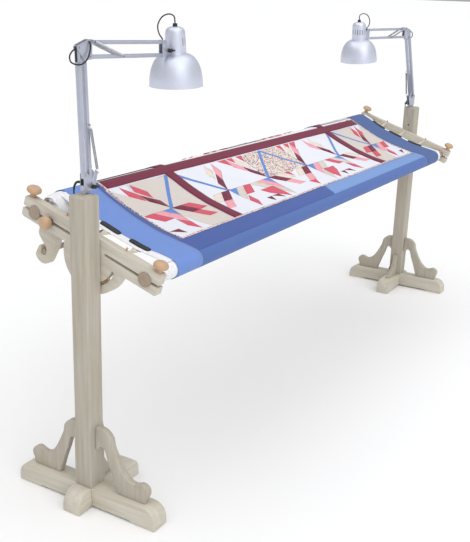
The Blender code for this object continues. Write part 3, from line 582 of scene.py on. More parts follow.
def coil_path():
    """Four turns: in along the floor, up one layer, and out again, ending on the side it came in."""
    turns = np.linspace(0, 4, 4 * TURN_POINTS + 1)
    radius = np.interp(turns, (0, 0.85, 1.15, 2.85, 3.15, 4), (COIL_OUTER, COIL_OUTER, COIL_INNER, COIL_INNER,
                                                           COIL_OUTER, COIL_OUTER))
    height = np.interp(turns, (0, 1.85, 2.15, 4), (LAYER_LOW, LAYER_LOW, LAYER_HIGH, LAYER_HIGH))
    angle = math.pi - 2 * math.pi * turns
    x = COIL_CENTRE[0] + radius * np.cos(angle)
    y = COIL_CENTRE[1] + radius * np.sin(angle)
    return np.stack([x, y, height], axis=1)


def make_lead(side, sign):
    """The whole lead on one line: down the post, into its coil and on to its plug."""
    wound = coil_path()
    plug_low, plug_high = (np.array(c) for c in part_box(side + "_lead_plug"))
    stand = np.array((sign * POST_X, 0, 0))
    entry = np.array(((plug_low[0] + plug_high[0]) / 2, plug_low[1], LAYER_HIGH)) - stand
    tail = [wound[-1] + (0, 0.004, 0), entry + (0, 0.0005, 0)]
    route = np.vstack([np.array(LEAD[:-1]), LEAD[-1], wound, tail])
    path = stand + smooth_line(route, LEAD_STEPS + 4 * TURN_POINTS * 2)
    cord = put(side + "_mains_lead", swept(path, LEAD_R, 12), CORD, None, "black_plastic",
               side + "_lead", side + "_lead_coil")
    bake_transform(cord)
    taper = path[:14]
    relief_mesh = swept(taper + 0.0, np.linspace(0.0044, 0.0031, len(taper)), 16)
    relief = put(side + "_strain_relief", relief_mesh, BLACK, None, "black_plastic")
    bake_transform(relief)
    plug = refined(side + "_lead_plug", BLACK, "stands", "black_plastic", 0.0012, 3)


# ---------------------------------------------------------------- the quilt as a surface
QUILT_DIP = 0.021
TOP_HALF = 1.267        # the pieced top ends here, and the batting shows beyond it
FRONT_END = FRONT_U - 2 * math.pi * FRONT_R * 0.97
REAR_END = REAR_U + 2 * math.pi * REAR_R * 0.97


def ripple(x, s):
    """Small puckers of a hand-basted quilt: three crossed waves and a softer one at the edges."""
    slow = 0.0012 * np.sin(9.1 * x + 2.0 * np.sin(7 * s)) * np.sin(14 * s + 1.3 * x)
    quick = 0.0005 * np.sin(41 * x + 13 * s) + 0.0004 * np.sin(57 * s - 23 * x)
    edge = np.clip((np.abs(x) - 1.12) / 0.15, 0, 1) ** 2
    return slow + quick + 0.0022 * edge * np.sin(27 * s + 1.1)


def cloth_place(x, s, lift):
    """Place on the quilt: s runs rearward along the cloth and equals u between the roll tops.

    Between the rolls the height is a straight line less a rounded dip. Past a roll's top the
    cloth follows its circle. lift is the distance outward from that surface.
    """
    x, s, lift = np.broadcast_arrays(np.asarray(x, float), s, lift)
    part = np.clip((s - FRONT_U) / (REAR_U - FRONT_U), 0, 1)
    line = ROLLER_V + FRONT_R + (REAR_R - FRONT_R) * part
    flat = np.clip(s, FRONT_U, REAR_U)
    height = line - QUILT_DIP * (4 * part * (1 - part)) ** 1.35
    free = np.clip(8 * part * (1 - part), 0, 1)
    height = height + ripple(x, s) * free
    turn = np.where(s > REAR_U, (s - REAR_U) / REAR_R, np.where(s < FRONT_U, (s - FRONT_U) / FRONT_R, 0.0))
    radius = np.where(s > REAR_U, REAR_R, FRONT_R) + lift
    centre = np.where(s > REAR_U, REAR_U, FRONT_U)
    round_it = turn != 0
    u = np.where(round_it, centre + radius * np.sin(turn), flat)
    v = np.where(round_it, ROLLER_V + radius * np.cos(turn), height + lift)
    return head_place(x, u, v)


def slab_between(low_x, high_x, low_s, high_s, top, bottom, nx, ns, round_end=0.006):
    """Closed soft slab: an upper and a lower sheet that close in a half ellipse at every edge."""
    ease = np.sin(np.linspace(0, QUARTER, 5))
    x = np.linspace(low_x, high_x, nx)
    flat = x[(x > low_x + round_end) & (x < high_x - round_end)]
    x = np.concatenate([low_x + round_end * (1 - ease[::-1]), flat, high_x - round_end * (1 - ease)])
    s = np.linspace(low_s, high_s, ns)
    inset = np.minimum(x - low_x, high_x - x)
    swell = np.sqrt(np.clip(1 - (1 - np.clip(inset / round_end, 0, 1)) ** 2, 0, 1))
    middle, half = (top + bottom) / 2, (top - bottom) / 2
    around = np.concatenate([s, s[::-1]])
    sign = np.concatenate([np.ones(ns), -np.ones(ns)])
    lift = middle + half * swell[:, None] * sign[None]
    places = cloth_place(x[:, None], around[None], lift)
    lookup = np.stack(np.broadcast_arrays(x[:, None], around[None]), axis=-1)
    return cleaned(new_mesh("slab", places, grid_faces(len(x), 2 * ns, close_columns=True), lookup), 60)


# ---------------------------------------------------------------- pieced pattern
STARS = (-0.928, -0.539, -0.217, 0.140, 0.482, 0.891)     # centres along the quilt
STAR_S = 0.047
ROW_STEP = 0.415        # from this row of stars to the next, over the long sash
LEFT, RIGHT = -1.090, 1.063
SASHES = ((-0.748, -0.690), (0.648, 0.712))               # upright sashes
LONG_SASH = (0.224, 0.270)
FRONT_EDGE = -0.118
DRIFT = 0.010           # the pieced part leans forward by this much in each metre
EDGE_WIDE = 0.009       # speckled edging
BAND_WIDE = 0.024       # dark band beside it on the left
BORDER_TURN = -0.213    # where the front border changes cloth
BORDER_SEAM = (-0.015, -0.060)                            # that change, along X at its two ends
BORDER_LAP = 0.02       # how far the front border runs in under the far one


def drifted(points):
    points = np.array(points, float)
    points[:, 1] -= DRIFT * (points[:, 0] - LEFT)
    return points


# One block about its star, in thousandths of a metre, for a star whose strip runs to the upper
# right. Every second star is its mirror image. The letters in COLOURWAYS pick the cottons.
BLOCK = {
    "core": ((-56, 108), (-53, 66), (0, 4), (0, 54)),
    "spike_outer": ((-106, 172), (-111, 116), (-58, 70), (-55, 107)),
    "spike_inner": ((-48, 168), (-62, 130), (-14, 76), (-4, 114)),
    "ray_outer": ((-166, 172), (-108, 172), (-110, 128)),
    "ray_middle": ((-98, 172), (-50, 172), (-66, 138)),
    "ray_inner": ((-20, 172), (20, 172), (0, 126)),
    "flag": ((0, 0), (56, 0), (112, -54), (56, -57)),
    "flag_upper": ((56, 0), (112, 0), (167, -48), (112, -54)),
    "flag_end": ((56, -57), (112, -54), (158, -103), (102, -106)),
    "flag_tail": ((112, -108), (176, -106), (146, -152)),
    "flag_far": ((134, 0), (176, 0), (172, -40)),
    "tip": ((-56, 0), (0, 0), (-7, -50)),
    "fan_one": ((-108, 0), (-56, 0), (-7, -50), (-12, -94), (-56, -54)),
    "fan_two": ((-166, 0), (-108, 0), (-57, -56), (-112, -58)),
    "fan_three": ((-56, -62), (-12, -98), (-18, -154), (-54, -114)),
    "fan_four": ((-60, -58), (-166, -58), (-142, -92), (-62, -156), (-58, -112)),
    "corner": ((-112, -116), (-160, -114), (-106, -150)),
    "corner_two": ((-168, -116), (-206, -116), (-190, -152)),
}
GROUND = {
    "upper": ((-178, 172), (178, 172), (0, 0)),
    "outer": ((-178, 172), (0, 0), (-178, 0)),
    "calico": ((20, 172), (179, 172), (179, -12), (112, 0), (0, 0), (2, 120)),
    "flag": ((178, 172), (178, -24), (0, 0)),
    "lower": ((0, 0), (178, -24), (178, -165), (30, -165), (-7, -50)),
}
COTTONS = {"r": RED, "p": PINK, "c": CREAM, "g": BEIGE, "d": BURGUNDY, "b": SKY}
# One letter for each patch of BLOCK; a dot leaves the muslin showing.
COLOURWAYS = (
    "drr...drr..bprr.d.",
    "dpc...dcp..bgrr...",
    "dpcrrrdcp.rbpggrdd",
    "dpcrrrdcpr.bpggr..",
    "dpc...dcp..bgrr.dd",
    "drr...drr..bprr.d.",
)
BEIGE_GROUND = ("upper", "outer", "flag", "lower")
GROUNDS = (BEIGE_GROUND, (), ("calico",), ("calico",), (), BEIGE_GROUND)
UPPER_WHITE = ((-178, 172), (-52, 172), (-62, 130), (-55, 107), (-111, 116))
STRIP_WIDE = 0.021


def star_patches(index, centre_s, flip):
    """(outline, cotton, layer) of one star block; flip turns it over front to back."""
    mirror = 1 if index % 2 == 0 else -1
    centre = np.array((STARS[index], centre_s))
    scale = np.array((mirror, -1 if flip else 1)) / 1000
    out = []
    for name in GROUNDS[index]:
        ground = FLORAL if name == "calico" else BEIGE
        out.append((centre + np.array(GROUND[name]) * scale, ground, 1))
    if "outer" in GROUNDS[index]:
        out.append((centre + np.array(UPPER_WHITE) * scale, MUSLIN, 2))
    for name, letter in zip(BLOCK, COLOURWAYS[index]):
        if letter in COTTONS:
            out.append((centre + np.array(BLOCK[name]) * scale, COTTONS[letter], 3))
    corner = centre + np.array((178, 172)) * scale
    wide = np.array((STRIP_WIDE / 2, 0))
    out.append((np.array([centre - wide, centre + wide, corner + wide, corner - wide]), SKY, 4))
    return out


def rectangle(x0, x1, s0, s1):
    return np.array(((x0, s0), (x1, s0), (x1, s1), (x0, s1)), float)


def pattern():
    """Every patch of the quilt top as (outline, cotton, layer)."""
    out = []
    for row in range(2):
        for index in range(len(STARS)):
            for outline, cloth, layer in star_patches(index, STAR_S + row * ROW_STEP, row == 1):
                out.append((drifted(outline), cloth, layer))
    for x0, x1 in SASHES:
        out.append((drifted(rectangle(x0, x1, FRONT_EDGE, LONG_SASH[0])), BURGUNDY, 5))
        out.append((drifted(rectangle(x0, x1, LONG_SASH[1], REAR_END)), BURGUNDY, 5))
    out.append((drifted(rectangle(LEFT, RIGHT, *LONG_SASH)), BURGUNDY, 6))
    inner_left, inner_right = LEFT - EDGE_WIDE, RIGHT + EDGE_WIDE
    front = FRONT_EDGE - EDGE_WIDE
    drop = DRIFT * (RIGHT - LEFT)
    out.append((rectangle(inner_left, LEFT, front, REAR_END), EDGING, 6))
    out.append((rectangle(RIGHT, inner_right, front - drop, REAR_END), EDGING, 6))
    out.append((drifted(rectangle(inner_left, inner_right, front, FRONT_EDGE)), EDGING, 6))
    band = inner_left - BAND_WIDE
    out.append((rectangle(band, inner_left, BORDER_TURN, REAR_END), BLUE_DARK, 1))
    out.append((rectangle(-TOP_HALF, band, FRONT_END, REAR_END), BLUE_NEAR, 1))
    out.append((rectangle(inner_right + 0.012, TOP_HALF, FRONT_END, REAR_END), BLUE_FAR, 3))
    out.append((rectangle(inner_right - 0.001, inner_right + 0.013, front - drop, REAR_END), BLUE_FAR, 3))
    seam_top, seam_low = BORDER_SEAM
    right_front = drifted(((seam_top, front), (inner_right + BORDER_LAP, front)))
    left_front = drifted(((band, front), (seam_top, front)))
    out.append((np.array(((band, BORDER_TURN), (seam_low, BORDER_TURN), left_front[1], left_front[0])),
                BLUE_DARK, 2))
    out.append((np.array(((seam_low, BORDER_TURN), (inner_right + BORDER_LAP, BORDER_TURN), right_front[1],
                          right_front[0])), BLUE_FRONT, 2))
    out.append((rectangle(band, inner_right + BORDER_LAP, FRONT_END, BORDER_TURN), BLUE_MID, 2))
    return out


def patch_mesh(outlines, low_s, high_s, lift):
    """Flat outlines cut to a stretch of cloth and laid on its surface.

    Each outline is sliced along lines of equal x and s, so that it bends with the cloth, and
    its corners then take their places from the cloth's own formula.
    """
    shape = bmesh.new()
    for outline in outlines:
        if outline[:, 1].max() <= low_s + 0.0005 or outline[:, 1].min() >= high_s - 0.0005:
            continue
        shape.faces.new([shape.verts.new((*p, 0)) for p in outline])
    if not shape.faces:
        shape.free()
        return None

    def slice_at(axis, value, **clear):
        normal = (1, 0, 0) if axis == 0 else (0, 1, 0)
        point = (value, 0, 0) if axis == 0 else (0, value, 0)
        everything = shape.verts[:] + shape.edges[:] + shape.faces[:]
        bmesh.ops.bisect_plane(shape, geom=everything, plane_co=point, plane_no=normal, dist=1e-7, **clear)

    slice_at(1, low_s, clear_inner=True)
    slice_at(1, high_s, clear_outer=True)
    step_s = 0.012 if low_s < FRONT_U + 0.01 < high_s or low_s >= FRONT_U - 0.01 else 0.008
    for value in np.arange(math.ceil(low_s / step_s) * step_s, high_s, step_s):
        slice_at(1, value)
    for value in np.arange(-1.26, 1.27, 0.028):
        slice_at(0, value)
    bmesh.ops.remove_doubles(shape, verts=shape.verts, dist=1e-6)
    bmesh.ops.triangulate(shape, faces=[f for f in shape.faces if len(f.verts) > 4])
    bmesh.ops.recalc_face_normals(shape, faces=shape.faces)
    for face in shape.faces:
        if face.normal.z < 0:
            face.normal_flip()
    mesh = bpy.data.meshes.new("patches")
    shape.to_mesh(mesh)
    shape.free()
    if not mesh.polygons:
        return None
    flat = np.empty(len(mesh.vertices) * 3)
    mesh.vertices.foreach_get("co", flat)
    flat = flat.reshape(-1, 3)
    layer = mesh.uv_layers.new(name="cloth")
    corner = np.empty(len(mesh.loops), dtype=np.int32)
    mesh.loops.foreach_get("vertex_index", corner)
    layer.data.foreach_set("uv", flat[corner, :2].ravel())
    mesh.vertices.foreach_set("co", cloth_place(flat[:, 0], flat[:, 1], lift).ravel())
    mesh.polygons.foreach_set("use_smooth", [True] * len(mesh.polygons))
    mesh.update()
    return mesh


LAYER_LIFT = 0.00022
CLOTH_THICK = 0.0005


def make_patches():
    """The patches joined by cotton and layer, one piece for each body that they lie on."""
    stretches = (("front_roller", FRONT_END, FRONT_U), ("head", FRONT_U, REAR_U),
                 ("rear_roller", REAR_U, REAR_END))
    names = {"front_roller": "front_roll", "head": "top", "rear_roller": "rear_roll"}
    groups = {}
    for outline, cloth, layer in pattern():
        groups.setdefault((cloth.name, layer), []).append(outline)
    made = {"front_roller": [], "head": [], "rear_roller": []}
    for (cloth, layer), outlines in groups.items():
        for body, low, high in stretches:
            mesh = patch_mesh(outlines, low, high, 0.0004 + LAYER_LIFT * layer)
            if mesh is None:
                continue
            name = f"{names[body]}_{cloth}_{layer}"
            patch = put(name, mesh, bpy.data.materials[cloth], body, "quilt_cloth")
            solid = patch.modifiers.new("cloth", "SOLIDIFY")
            solid.thickness = CLOTH_THICK
            solid.offset = -1
            made[body].append(patch)
    return made


ROLL_ROUND = 0.006


def roll_band(radius, centre_u, sense, x_half, nx):
    """Wound cloth: a strip of even thickness on a spiral, carried along X, with soft ends."""
    inner = ROLLER_R + 0.0006
    strip = 0.0031
    pitch = 0.0033
    turns = (radius - 0.0002 - inner - strip) / pitch
    steps = int(44 * turns)
    angle = np.linspace(0, 2 * math.pi * turns, steps)
    spiral = inner + pitch * angle / (2 * math.pi)
    finish = angle - angle[-1]
    flat = x_half - ROLL_ROUND
    x = np.concatenate([np.linspace(-x_half, -flat, 4)[:-1], np.linspace(-flat, flat, nx),
                        np.linspace(flat, x_half, 4)[1:]])
    inset = np.clip((x_half - np.abs(x)) / ROLL_ROUND, 0, 1)
    swell = 0.35 + 0.65 * np.sqrt(1 - (1 - inset) ** 2)
    ragged = 0.004 * np.sin(2.3 * angle) + 0.002 * np.sin(7.1 * angle + 1)
    places = []
    for side in (1, 0):
        r = spiral[None] + strip * (0.5 + (side - 0.5) * swell[:, None])
        soft = np.clip((np.abs(x) - TOP_HALF) / 0.05, 0, 1)[:, None]
        droop = 0.42 * np.clip((np.abs(x) - 1.285) / 0.05, 0, 1)[:, None] ** 1.6
        r = r - droop * (r - ROLLER_R - 0.001)
        r = r - soft * 0.0012 * (1 + np.sin(3 * angle + 9 * x[:, None]))
        outward = np.sign(x) * np.clip((np.abs(x) - 1.30) / 0.034, 0, 1)
        shift = outward[:, None] * (ragged - ROLL_ROUND)[None]
        u = centre_u + r * np.sin(sense * finish)[None]
        v = ROLLER_V + r * np.cos(sense * finish)[None]
        places.append(head_place(x[:, None] + shift, u, v))
    grid = np.concatenate([places[0], places[1][:, ::-1]], axis=1)
    run = np.concatenate([angle, angle[::-1]]) * radius
    lookup = np.stack(np.broadcast_arrays(x[:, None], run[None]), axis=-1)
    k = np.arange(steps - 1)
    end_faces = np.stack([k, k + 1, 2 * steps - 2 - k, 2 * steps - 1 - k], axis=1)
    last_row = (grid.shape[0] - 1) * grid.shape[1]
    faces = np.vstack([grid_faces(grid.shape[0], grid.shape[1], close_columns=True),
                       end_faces, end_faces + last_row])
    mesh = new_mesh("roll", grid, faces.tolist(), lookup)
    length = float((spiral[:-1] * np.diff(angle)).sum())
    return cleaned(mesh, 50, 1e-7), length


def make_quilt():
    patches = make_patches()
    slab = slab_between(-BATTING_HALF, BATTING_HALF, FRONT_U, REAR_U, -0.0008, -0.0058, 300, 44)
    batting = put("quilt_batting", slab, BATTING, "head", "quilt_cloth", "quilt_panel")
    under = slab_between(-BATTING_HALF + 0.004, BATTING_HALF - 0.004, FRONT_U + 0.004, REAR_U - 0.004,
                         -0.0060, -0.0066, 220, 36, 0.001)
    backing = put("quilt_backing", under, BACKING, "head", "quilt_cloth")
    cover = slab_between(-TOP_HALF, TOP_HALF, FRONT_U, REAR_U, 0.0003, -0.0006, 300, 44, 0.0015)
    top = put("quilt_top", cover, MUSLIN, "head", "quilt_cloth")
    for end, radius, u, sense in (("front", FRONT_R, FRONT_U, -1), ("rear", REAR_R, REAR_U, 1)):
        mesh, length = roll_band(radius, u, sense, ROLL_HALF, 90)
        roll = put(end + "_roll_cloth", mesh, BATTING, end + "_roller", "quilt_cloth", end + "_quilt_roll")


# ---------------------------------------------------------------- clips that hold the sides
CLIP_U = (0.157, 0.046, -0.080)
PEG_U = (0.150, 0.026, -0.100)
PEG_LEAN = (0.0, -0.45, 0.12)
CLIP_LONG = 0.083
CLIP_X = 1.274


def clip_mesh(sign, u):
    """Bar with rounded ends: an egg section that swells below, ribbed by a sine along its length."""
    t = np.linspace(-1, 1, 70)
    a = np.arange(20) * 2 * math.pi / 20
    taper = (1 - np.abs(t) ** 8) ** 0.25
    ribs = 1 + 0.14 * np.sin(2 * math.pi * t * CLIP_LONG / 2 / 0.0105)
    lobe = 1 + 1.3 * np.exp(-((t[:, None] - 0.1) / 0.55) ** 2) * np.clip(-np.sin(a), 0, 1)[None]
    across = 0.0120 * taper[:, None] * np.cos(a)[None]
    lift = 0.0088 * taper[:, None] * np.sin(a)[None] * lobe * np.where(np.sin(a) < 0, ribs[:, None], 1.0)
    along = u + t * CLIP_LONG / 2
    ground = cloth_place(sign * CLIP_X, along, 0.0)
    un, vn = head_measures(ground.T)
    places = head_place(sign * CLIP_X + across, un[:, None] + 0 * a, vn[:, None] - 0.001 + lift)
    return cleaned(new_mesh("clip", places, grid_faces(len(t), len(a), close_columns=True)), 40)


def strap_mesh(sign, u_clip, u_peg, peg_top):
    """Tapering ribbon from the clip's outer side, narrowing to the top of its peg."""
    t = np.linspace(0, 1, 22)[:, None]
    w = np.linspace(-1, 1, 9)[None]
    start = head_measures(cloth_place(sign * CLIP_X, u_clip, 0.0))[1]
    wide = 0.013 * (1 - t) ** 1.2 + 0.0030
    x = sign * (CLIP_X + 0.006 + (ARM_INNER + 0.005 - CLIP_X - 0.006) * t + 0 * w)
    u = u_clip + (u_peg - u_clip) * t + wide * w
    v = start - 0.002 + (peg_top - 0.003 - start) * t ** 1.6 + 0.002 * np.sin(5 * t + 2 * w) * (1 - t)
    v = v - 0.008 * np.sin(math.pi * t)
    mesh = new_mesh("strap", head_place(x, u, v), grid_faces(22, 9))
    return mesh


def peg_mesh(sign, u, base_v, lean):
    """Short dowel with a domed head, standing on the arm's inner top edge."""
    profile = [(0, 0.0125), (0.0022, 0.0122), (0.0038, 0.0108), (0.0042, 0.0090), (0.0040, 0.0078),
               (0.0030, 0.0066), (0.0029, 0.0), (0, 0.0)]
    place = Vector(head_place(sign * (ARM_INNER + 0.0065), u, base_v).tolist())
    turn = Matrix.Rotation(TILT + lean, 4, "X")
    return turned(profile, 20, Matrix.Translation(place) @ turn)


def make_clips():
    arm_top = 0.0715
    for side, sign in SIDES:
        for number, (clip_u, peg_u, lean) in enumerate(zip(CLIP_U, PEG_U, PEG_LEAN), 1):
            put(f"{side}_clip_{number}", clip_mesh(sign, clip_u), BLACK, "head", "black_plastic")
            ribbon = strap_mesh(sign, clip_u, peg_u, arm_top + 0.006)
            strap = put(f"{side}_clip_strap_{number}", ribbon, RIBBON, "head", "quilt_cloth")
            solid = strap.modifiers.new("ribbon", "SOLIDIFY")
            solid.thickness = 0.0012
            put(f"{side}_clip_peg_{number}", peg_mesh(sign, peg_u, arm_top - 0.001, lean), KNOB_WOOD, "head",
                "knob_wood")


# ---------------------------------------------------------------- wooden parts
def make_woodwork():
    finishes = (("post", WOOD_UP_SHADED, "stands", 0.0022), ("long_foot", WOOD_Y, "stands", 0.0025),
                ("cross_foot", WOOD_X, "stands", 0.0025), ("front_bracket", WOOD_UP_SHADED, "stands", 0.0028),
                ("rear_bracket", WOOD_UP_SHADED, "stands", 0.0028), ("inner_bracket", WOOD_UP_SHADED, "stands", 0.0022),
                ("arm", WOOD_ARM, "head", 0.0022), ("hook_bracket", WOOD_ARM, "head", 0.0022))
    for side, _ in SIDES:
        for part, finish, body, width in finishes:
            refined(f"{side}_{part}", finish, body, "pale_wood", width)


def cylinder_profile(radius, low, high, ease):
    """Rod outline with eased rims, from its top centre to its bottom centre."""
    a = np.linspace(0, QUARTER, 4)
    top = np.stack([radius - ease + ease * np.sin(a), high - ease + ease * np.cos(a)], axis=1)
    bottom = np.stack([radius - ease + ease * np.cos(a), low + ease - ease * np.sin(a)], axis=1)
    return np.vstack([(0, high), top, bottom, (0, low)])


def make_poles():
    for node, radius in (("front_roller", ROLLER_R), ("rear_roller", ROLLER_R),
                         ("batting_bar", wrap_radius("batting_bar"))):
        low, high = (np.array(c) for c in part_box(node))
        centre = (low + high) / 2
        half = (high[0] - low[0]) / 2
        turn = Matrix.Translation(Vector(centre)) @ Matrix.Rotation(QUARTER, 4, "Y")
        put(node + "_pole", turned(cylinder_profile(radius, -half, half, 0.0015), 56, turn), POLE_WOOD, node,
            "roller_wood", node)


def axis_frame(joint):
    """The frame whose origin is on a joint and whose +Z is its axis."""
    turn = Vector(JOINTS[joint]["axis"]).to_track_quat("Z", "Y").to_matrix().to_4x4()
    return Matrix.Translation(Vector(JOINTS[joint]["pos_m"])) @ turn


MUSHROOM = ((0, 0.0370), (0.0100, 0.0366), (0.0190, 0.0330), (0.0250, 0.0262), (0.0248, 0.0185),
            (0.0190, 0.0140), (0.0098, 0.0112), (0.0095, 0.0070), (0.0112, 0.0020), (0.0108, 0.0))
BALL = ((0, 0.0405), (0.0090, 0.0398), (0.0180, 0.0350), (0.0232, 0.0265), (0.0236, 0.0190), (0.0200, 0.0110),
        (0.0130, 0.0052), (0.0100, 0.0032))
WASHER = ((0.0100, 0.0030), (0.0165, 0.0030), (0.0170, 0.0026), (0.0170, 0.0004), (0.0166, 0.0),
          (0.0032, 0.0), (0.0032, 0.0030), (0.0100, 0.0030))
STUD_R = 0.0030


def thread_profile(length, pitch=0.0012):
    """Stud outline below a knob, its thread a row of small ridges."""
    turns = int(length / pitch)
    z = -np.arange(2 * turns + 1) * pitch / 2
    r = STUD_R - 0.0004 * (np.arange(2 * turns + 1) % 2)
    return np.vstack([(0, 0), np.stack([r, z], axis=1), (0, z[-1])])


def make_knobs():
    for side, _ in SIDES:
        for name, stud in (("front_clamp_knob", 0.069), ("rear_clamp_knob", 0.069), ("tilt_knob", 0.065),
                           ("hook_knob", 0.052)):
            node = f"{side}_{name}"
            place = axis_frame(node + "_turn")
            if name == "hook_knob":
                ball = turned(np.vstack([eased(BALL, 0.9), [(0, 0.0032)]]), 40, place)
                put(node + "_ball", ball, KNOB_WOOD, node, "knob_wood", node)
                put(node + "_washer", turned(WASHER, 32, place), STEEL, node, "steel")
            else:
                head = turned(np.vstack([eased(MUSHROOM, 0.9), [(0, 0.0)]]), 40, place)
                put(node + "_turning", head, KNOB_WOOD, node, "knob_wood", node)
            put(node + "_stud", turned(thread_profile(stud), 16, place), STEEL, node, "steel")
        bolt = f"{side}_pivot_bolt"
        refined(bolt, STEEL, "stands", "steel", 0.0004)


# ---------------------------------------------------------------- lamps
SHADE_AXIS = 0.050
SHADE_TOP = 0.074
NECK_R = 0.0365
NECK_LOW = SHADE_TOP - 0.089
BELL_R = 0.0925
BELL_HIGH = 0.106
SHADE_WALL = 0.0011
SHADE_NOD = {"left": -3.0, "right": 6.0}
PLATE_OUT = 0.0079
BULB_R = 0.030


def lamp_axes(side):
    """(ahead, across, up) of a lamp: across is its level pin direction."""
    across = -np.array(JOINTS[side + "_lamp_lower_arm"]["axis"], float)
    up = np.array((0, 0, 1.0))
    return np.cross(across, up), across, up


def lamp_place(side, origin, ahead, across, up):
    a, b, c = lamp_axes(side)
    return np.asarray(origin) + ahead * a + across * b + up * c


def shade_frame(side):
    a, b, c = (Vector(w) for w in lamp_axes(side))
    turn = Matrix((a, b, c)).transposed().to_4x4()
    return Matrix.Translation(Vector(joint_at(side + "_lamp_shade_tilt"))) @ turn @ Matrix.Rotation(
        math.radians(SHADE_NOD[side]), 4, "Y")


def shade_profile():
    """Outer line of the shade: domed cap, straight neck and quarter-ellipse bell."""
    cap = [(0.0060, SHADE_TOP), (0.0165, SHADE_TOP - 0.0008), (0.0262, SHADE_TOP - 0.0045),
           (0.0318, SHADE_TOP - 0.0115), (0.0342, SHADE_TOP - 0.0200), (NECK_R - 0.0010, SHADE_TOP - 0.0500),
           (NECK_R, NECK_LOW + 0.0040), (NECK_R + 0.0012, NECK_LOW)]
    line = eased(cap, 0.8, 4)
    a = np.linspace(0.05, 1.0, 18) * QUARTER
    bell = np.stack([NECK_R + (BELL_R - NECK_R) * np.sin(a), NECK_LOW - BELL_HIGH * (1 - np.cos(a) ** 0.9)],
                    axis=1)
    return np.vstack([line, bell])


def slot_cutter(place):
    """Joined thin boxes that cut the ring of vents on the side away from the arm."""
    shape = bmesh.new()
    for degrees in range(-100, 101, 20):
        turn = Matrix.Rotation(math.radians(degrees), 4, "Z") @ Matrix.Translation((NECK_R - 0.001, 0, 0.026))
        bmesh.ops.create_cube(shape, size=1, matrix=turn @ Matrix.Diagonal((0.012, 0.0030, 0.026, 1)))
    mesh = bpy.data.meshes.new("vents")
    shape.to_mesh(mesh)
    shape.free()
    mesh.transform(place)
    return mesh


def make_shade(side):
    name = side + "_lamp_"
    place = shade_frame(side) @ Matrix.Translation((SHADE_AXIS, 0, 0))
    outer = shade_profile()
    inner = outer.copy()
    inner[:, 0] = np.maximum(inner[:, 0] - SHADE_WALL, 0.0055)
    inner[:, 1] -= SHADE_WALL * np.clip((outer[:, 1] - (SHADE_TOP - 0.02)) / 0.02, 0, 1)
    rim = np.array([(BELL_R + 0.0006, outer[-1, 1] - 0.0002), (BELL_R + 0.0006, outer[-1, 1] - 0.0018),
                    (BELL_R - SHADE_WALL, outer[-1, 1] - 0.0018)])
    closed = np.vstack([outer, rim, inner[::-1], outer[:1]])
    shell = put(name + "shade_bell", turned(closed, 72, place), SILVER, None, "silver_paint", name + "shade")
    cutter = bpy.data.objects.new("cutter", slot_cutter(place))
    bpy.context.scene.collection.objects.link(cutter)
    vents = shell.modifiers.new("vents", "BOOLEAN")
    vents.operation = "DIFFERENCE"
    vents.object = cutter
    vents.solver = "EXACT"
    applied(shell)
    bpy.data.objects.remove(cutter, do_unlink=True)
    shell.data.set_sharp_from_angle(angle=math.radians(35))
    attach(shell, name + "shade")
    reach = shade_frame(side)
    lug = swept_box(reach, (-0.006, -0.0045, -0.006), (SHADE_AXIS - NECK_R + 0.002, 0.0045, 0.006), 0.0012)
    put(name + "shade_lug", lug, SILVER, name + "shade", "silver_paint")
    collar = turned([(0.0062, SHADE_TOP + 0.010), (0.0078, SHADE_TOP + 0.0095), (0.0082, SHADE_TOP - 0.002),
                     (0.0, SHADE_TOP - 0.002), (0.0, SHADE_TOP + 0.010)], 24, place)
    put(name + "shade_bush", collar, BLACK, name + "shade", "black_plastic")
    holder = [(0, SHADE_TOP - 0.0016), (0.013, SHADE_TOP - 0.0022), (0.0165, SHADE_TOP - 0.012),
              (0.0185, SHADE_TOP - 0.020), (0.0190, SHADE_TOP - 0.061), (0.0150, SHADE_TOP - 0.064),
              (0, SHADE_TOP - 0.064)]
    put(name + "lamp_holder", turned(eased(holder, 0.4, 3), 32, place), BLACK, name + "shade",
        "black_plastic")
    centre = SHADE_TOP - 0.106
    a = np.linspace(QUARTER - 0.44, -QUARTER, 22)
    globe = np.stack([BULB_R * np.cos(a), centre + BULB_R * np.sin(a)], axis=1)
    neck = [(0, SHADE_TOP - 0.058), (0.0125, SHADE_TOP - 0.058), (0.0126, SHADE_TOP - 0.068)]
    put(name + "light_bulb", turned(np.vstack([neck, globe]), 40, place), FROSTED, name + "shade",
        "bulb_glass", name + "bulb")


def swept_box(place, low, high, ease):
    """Box with rounded edges in a given frame."""
    shape = bmesh.new()
    low, high = Vector(low), Vector(high)
    bmesh.ops.create_cube(shape, size=1)
    bmesh.ops.scale(shape, vec=high - low, verts=shape.verts)
    bmesh.ops.translate(shape, vec=(low + high) / 2, verts=shape.verts)
    bmesh.ops.bevel(shape, geom=shape.edges[:], offset=ease, segments=3, affect="EDGES", profile=0.5)
    mesh = bpy.data.meshes.new("box")
    shape.to_mesh(mesh)
    shape.free()
    mesh.transform(place)
    mesh.polygons.foreach_set("use_smooth", [True] * len(mesh.polygons))
    mesh.set_sharp_from_angle(angle=math.radians(40))
    return mesh


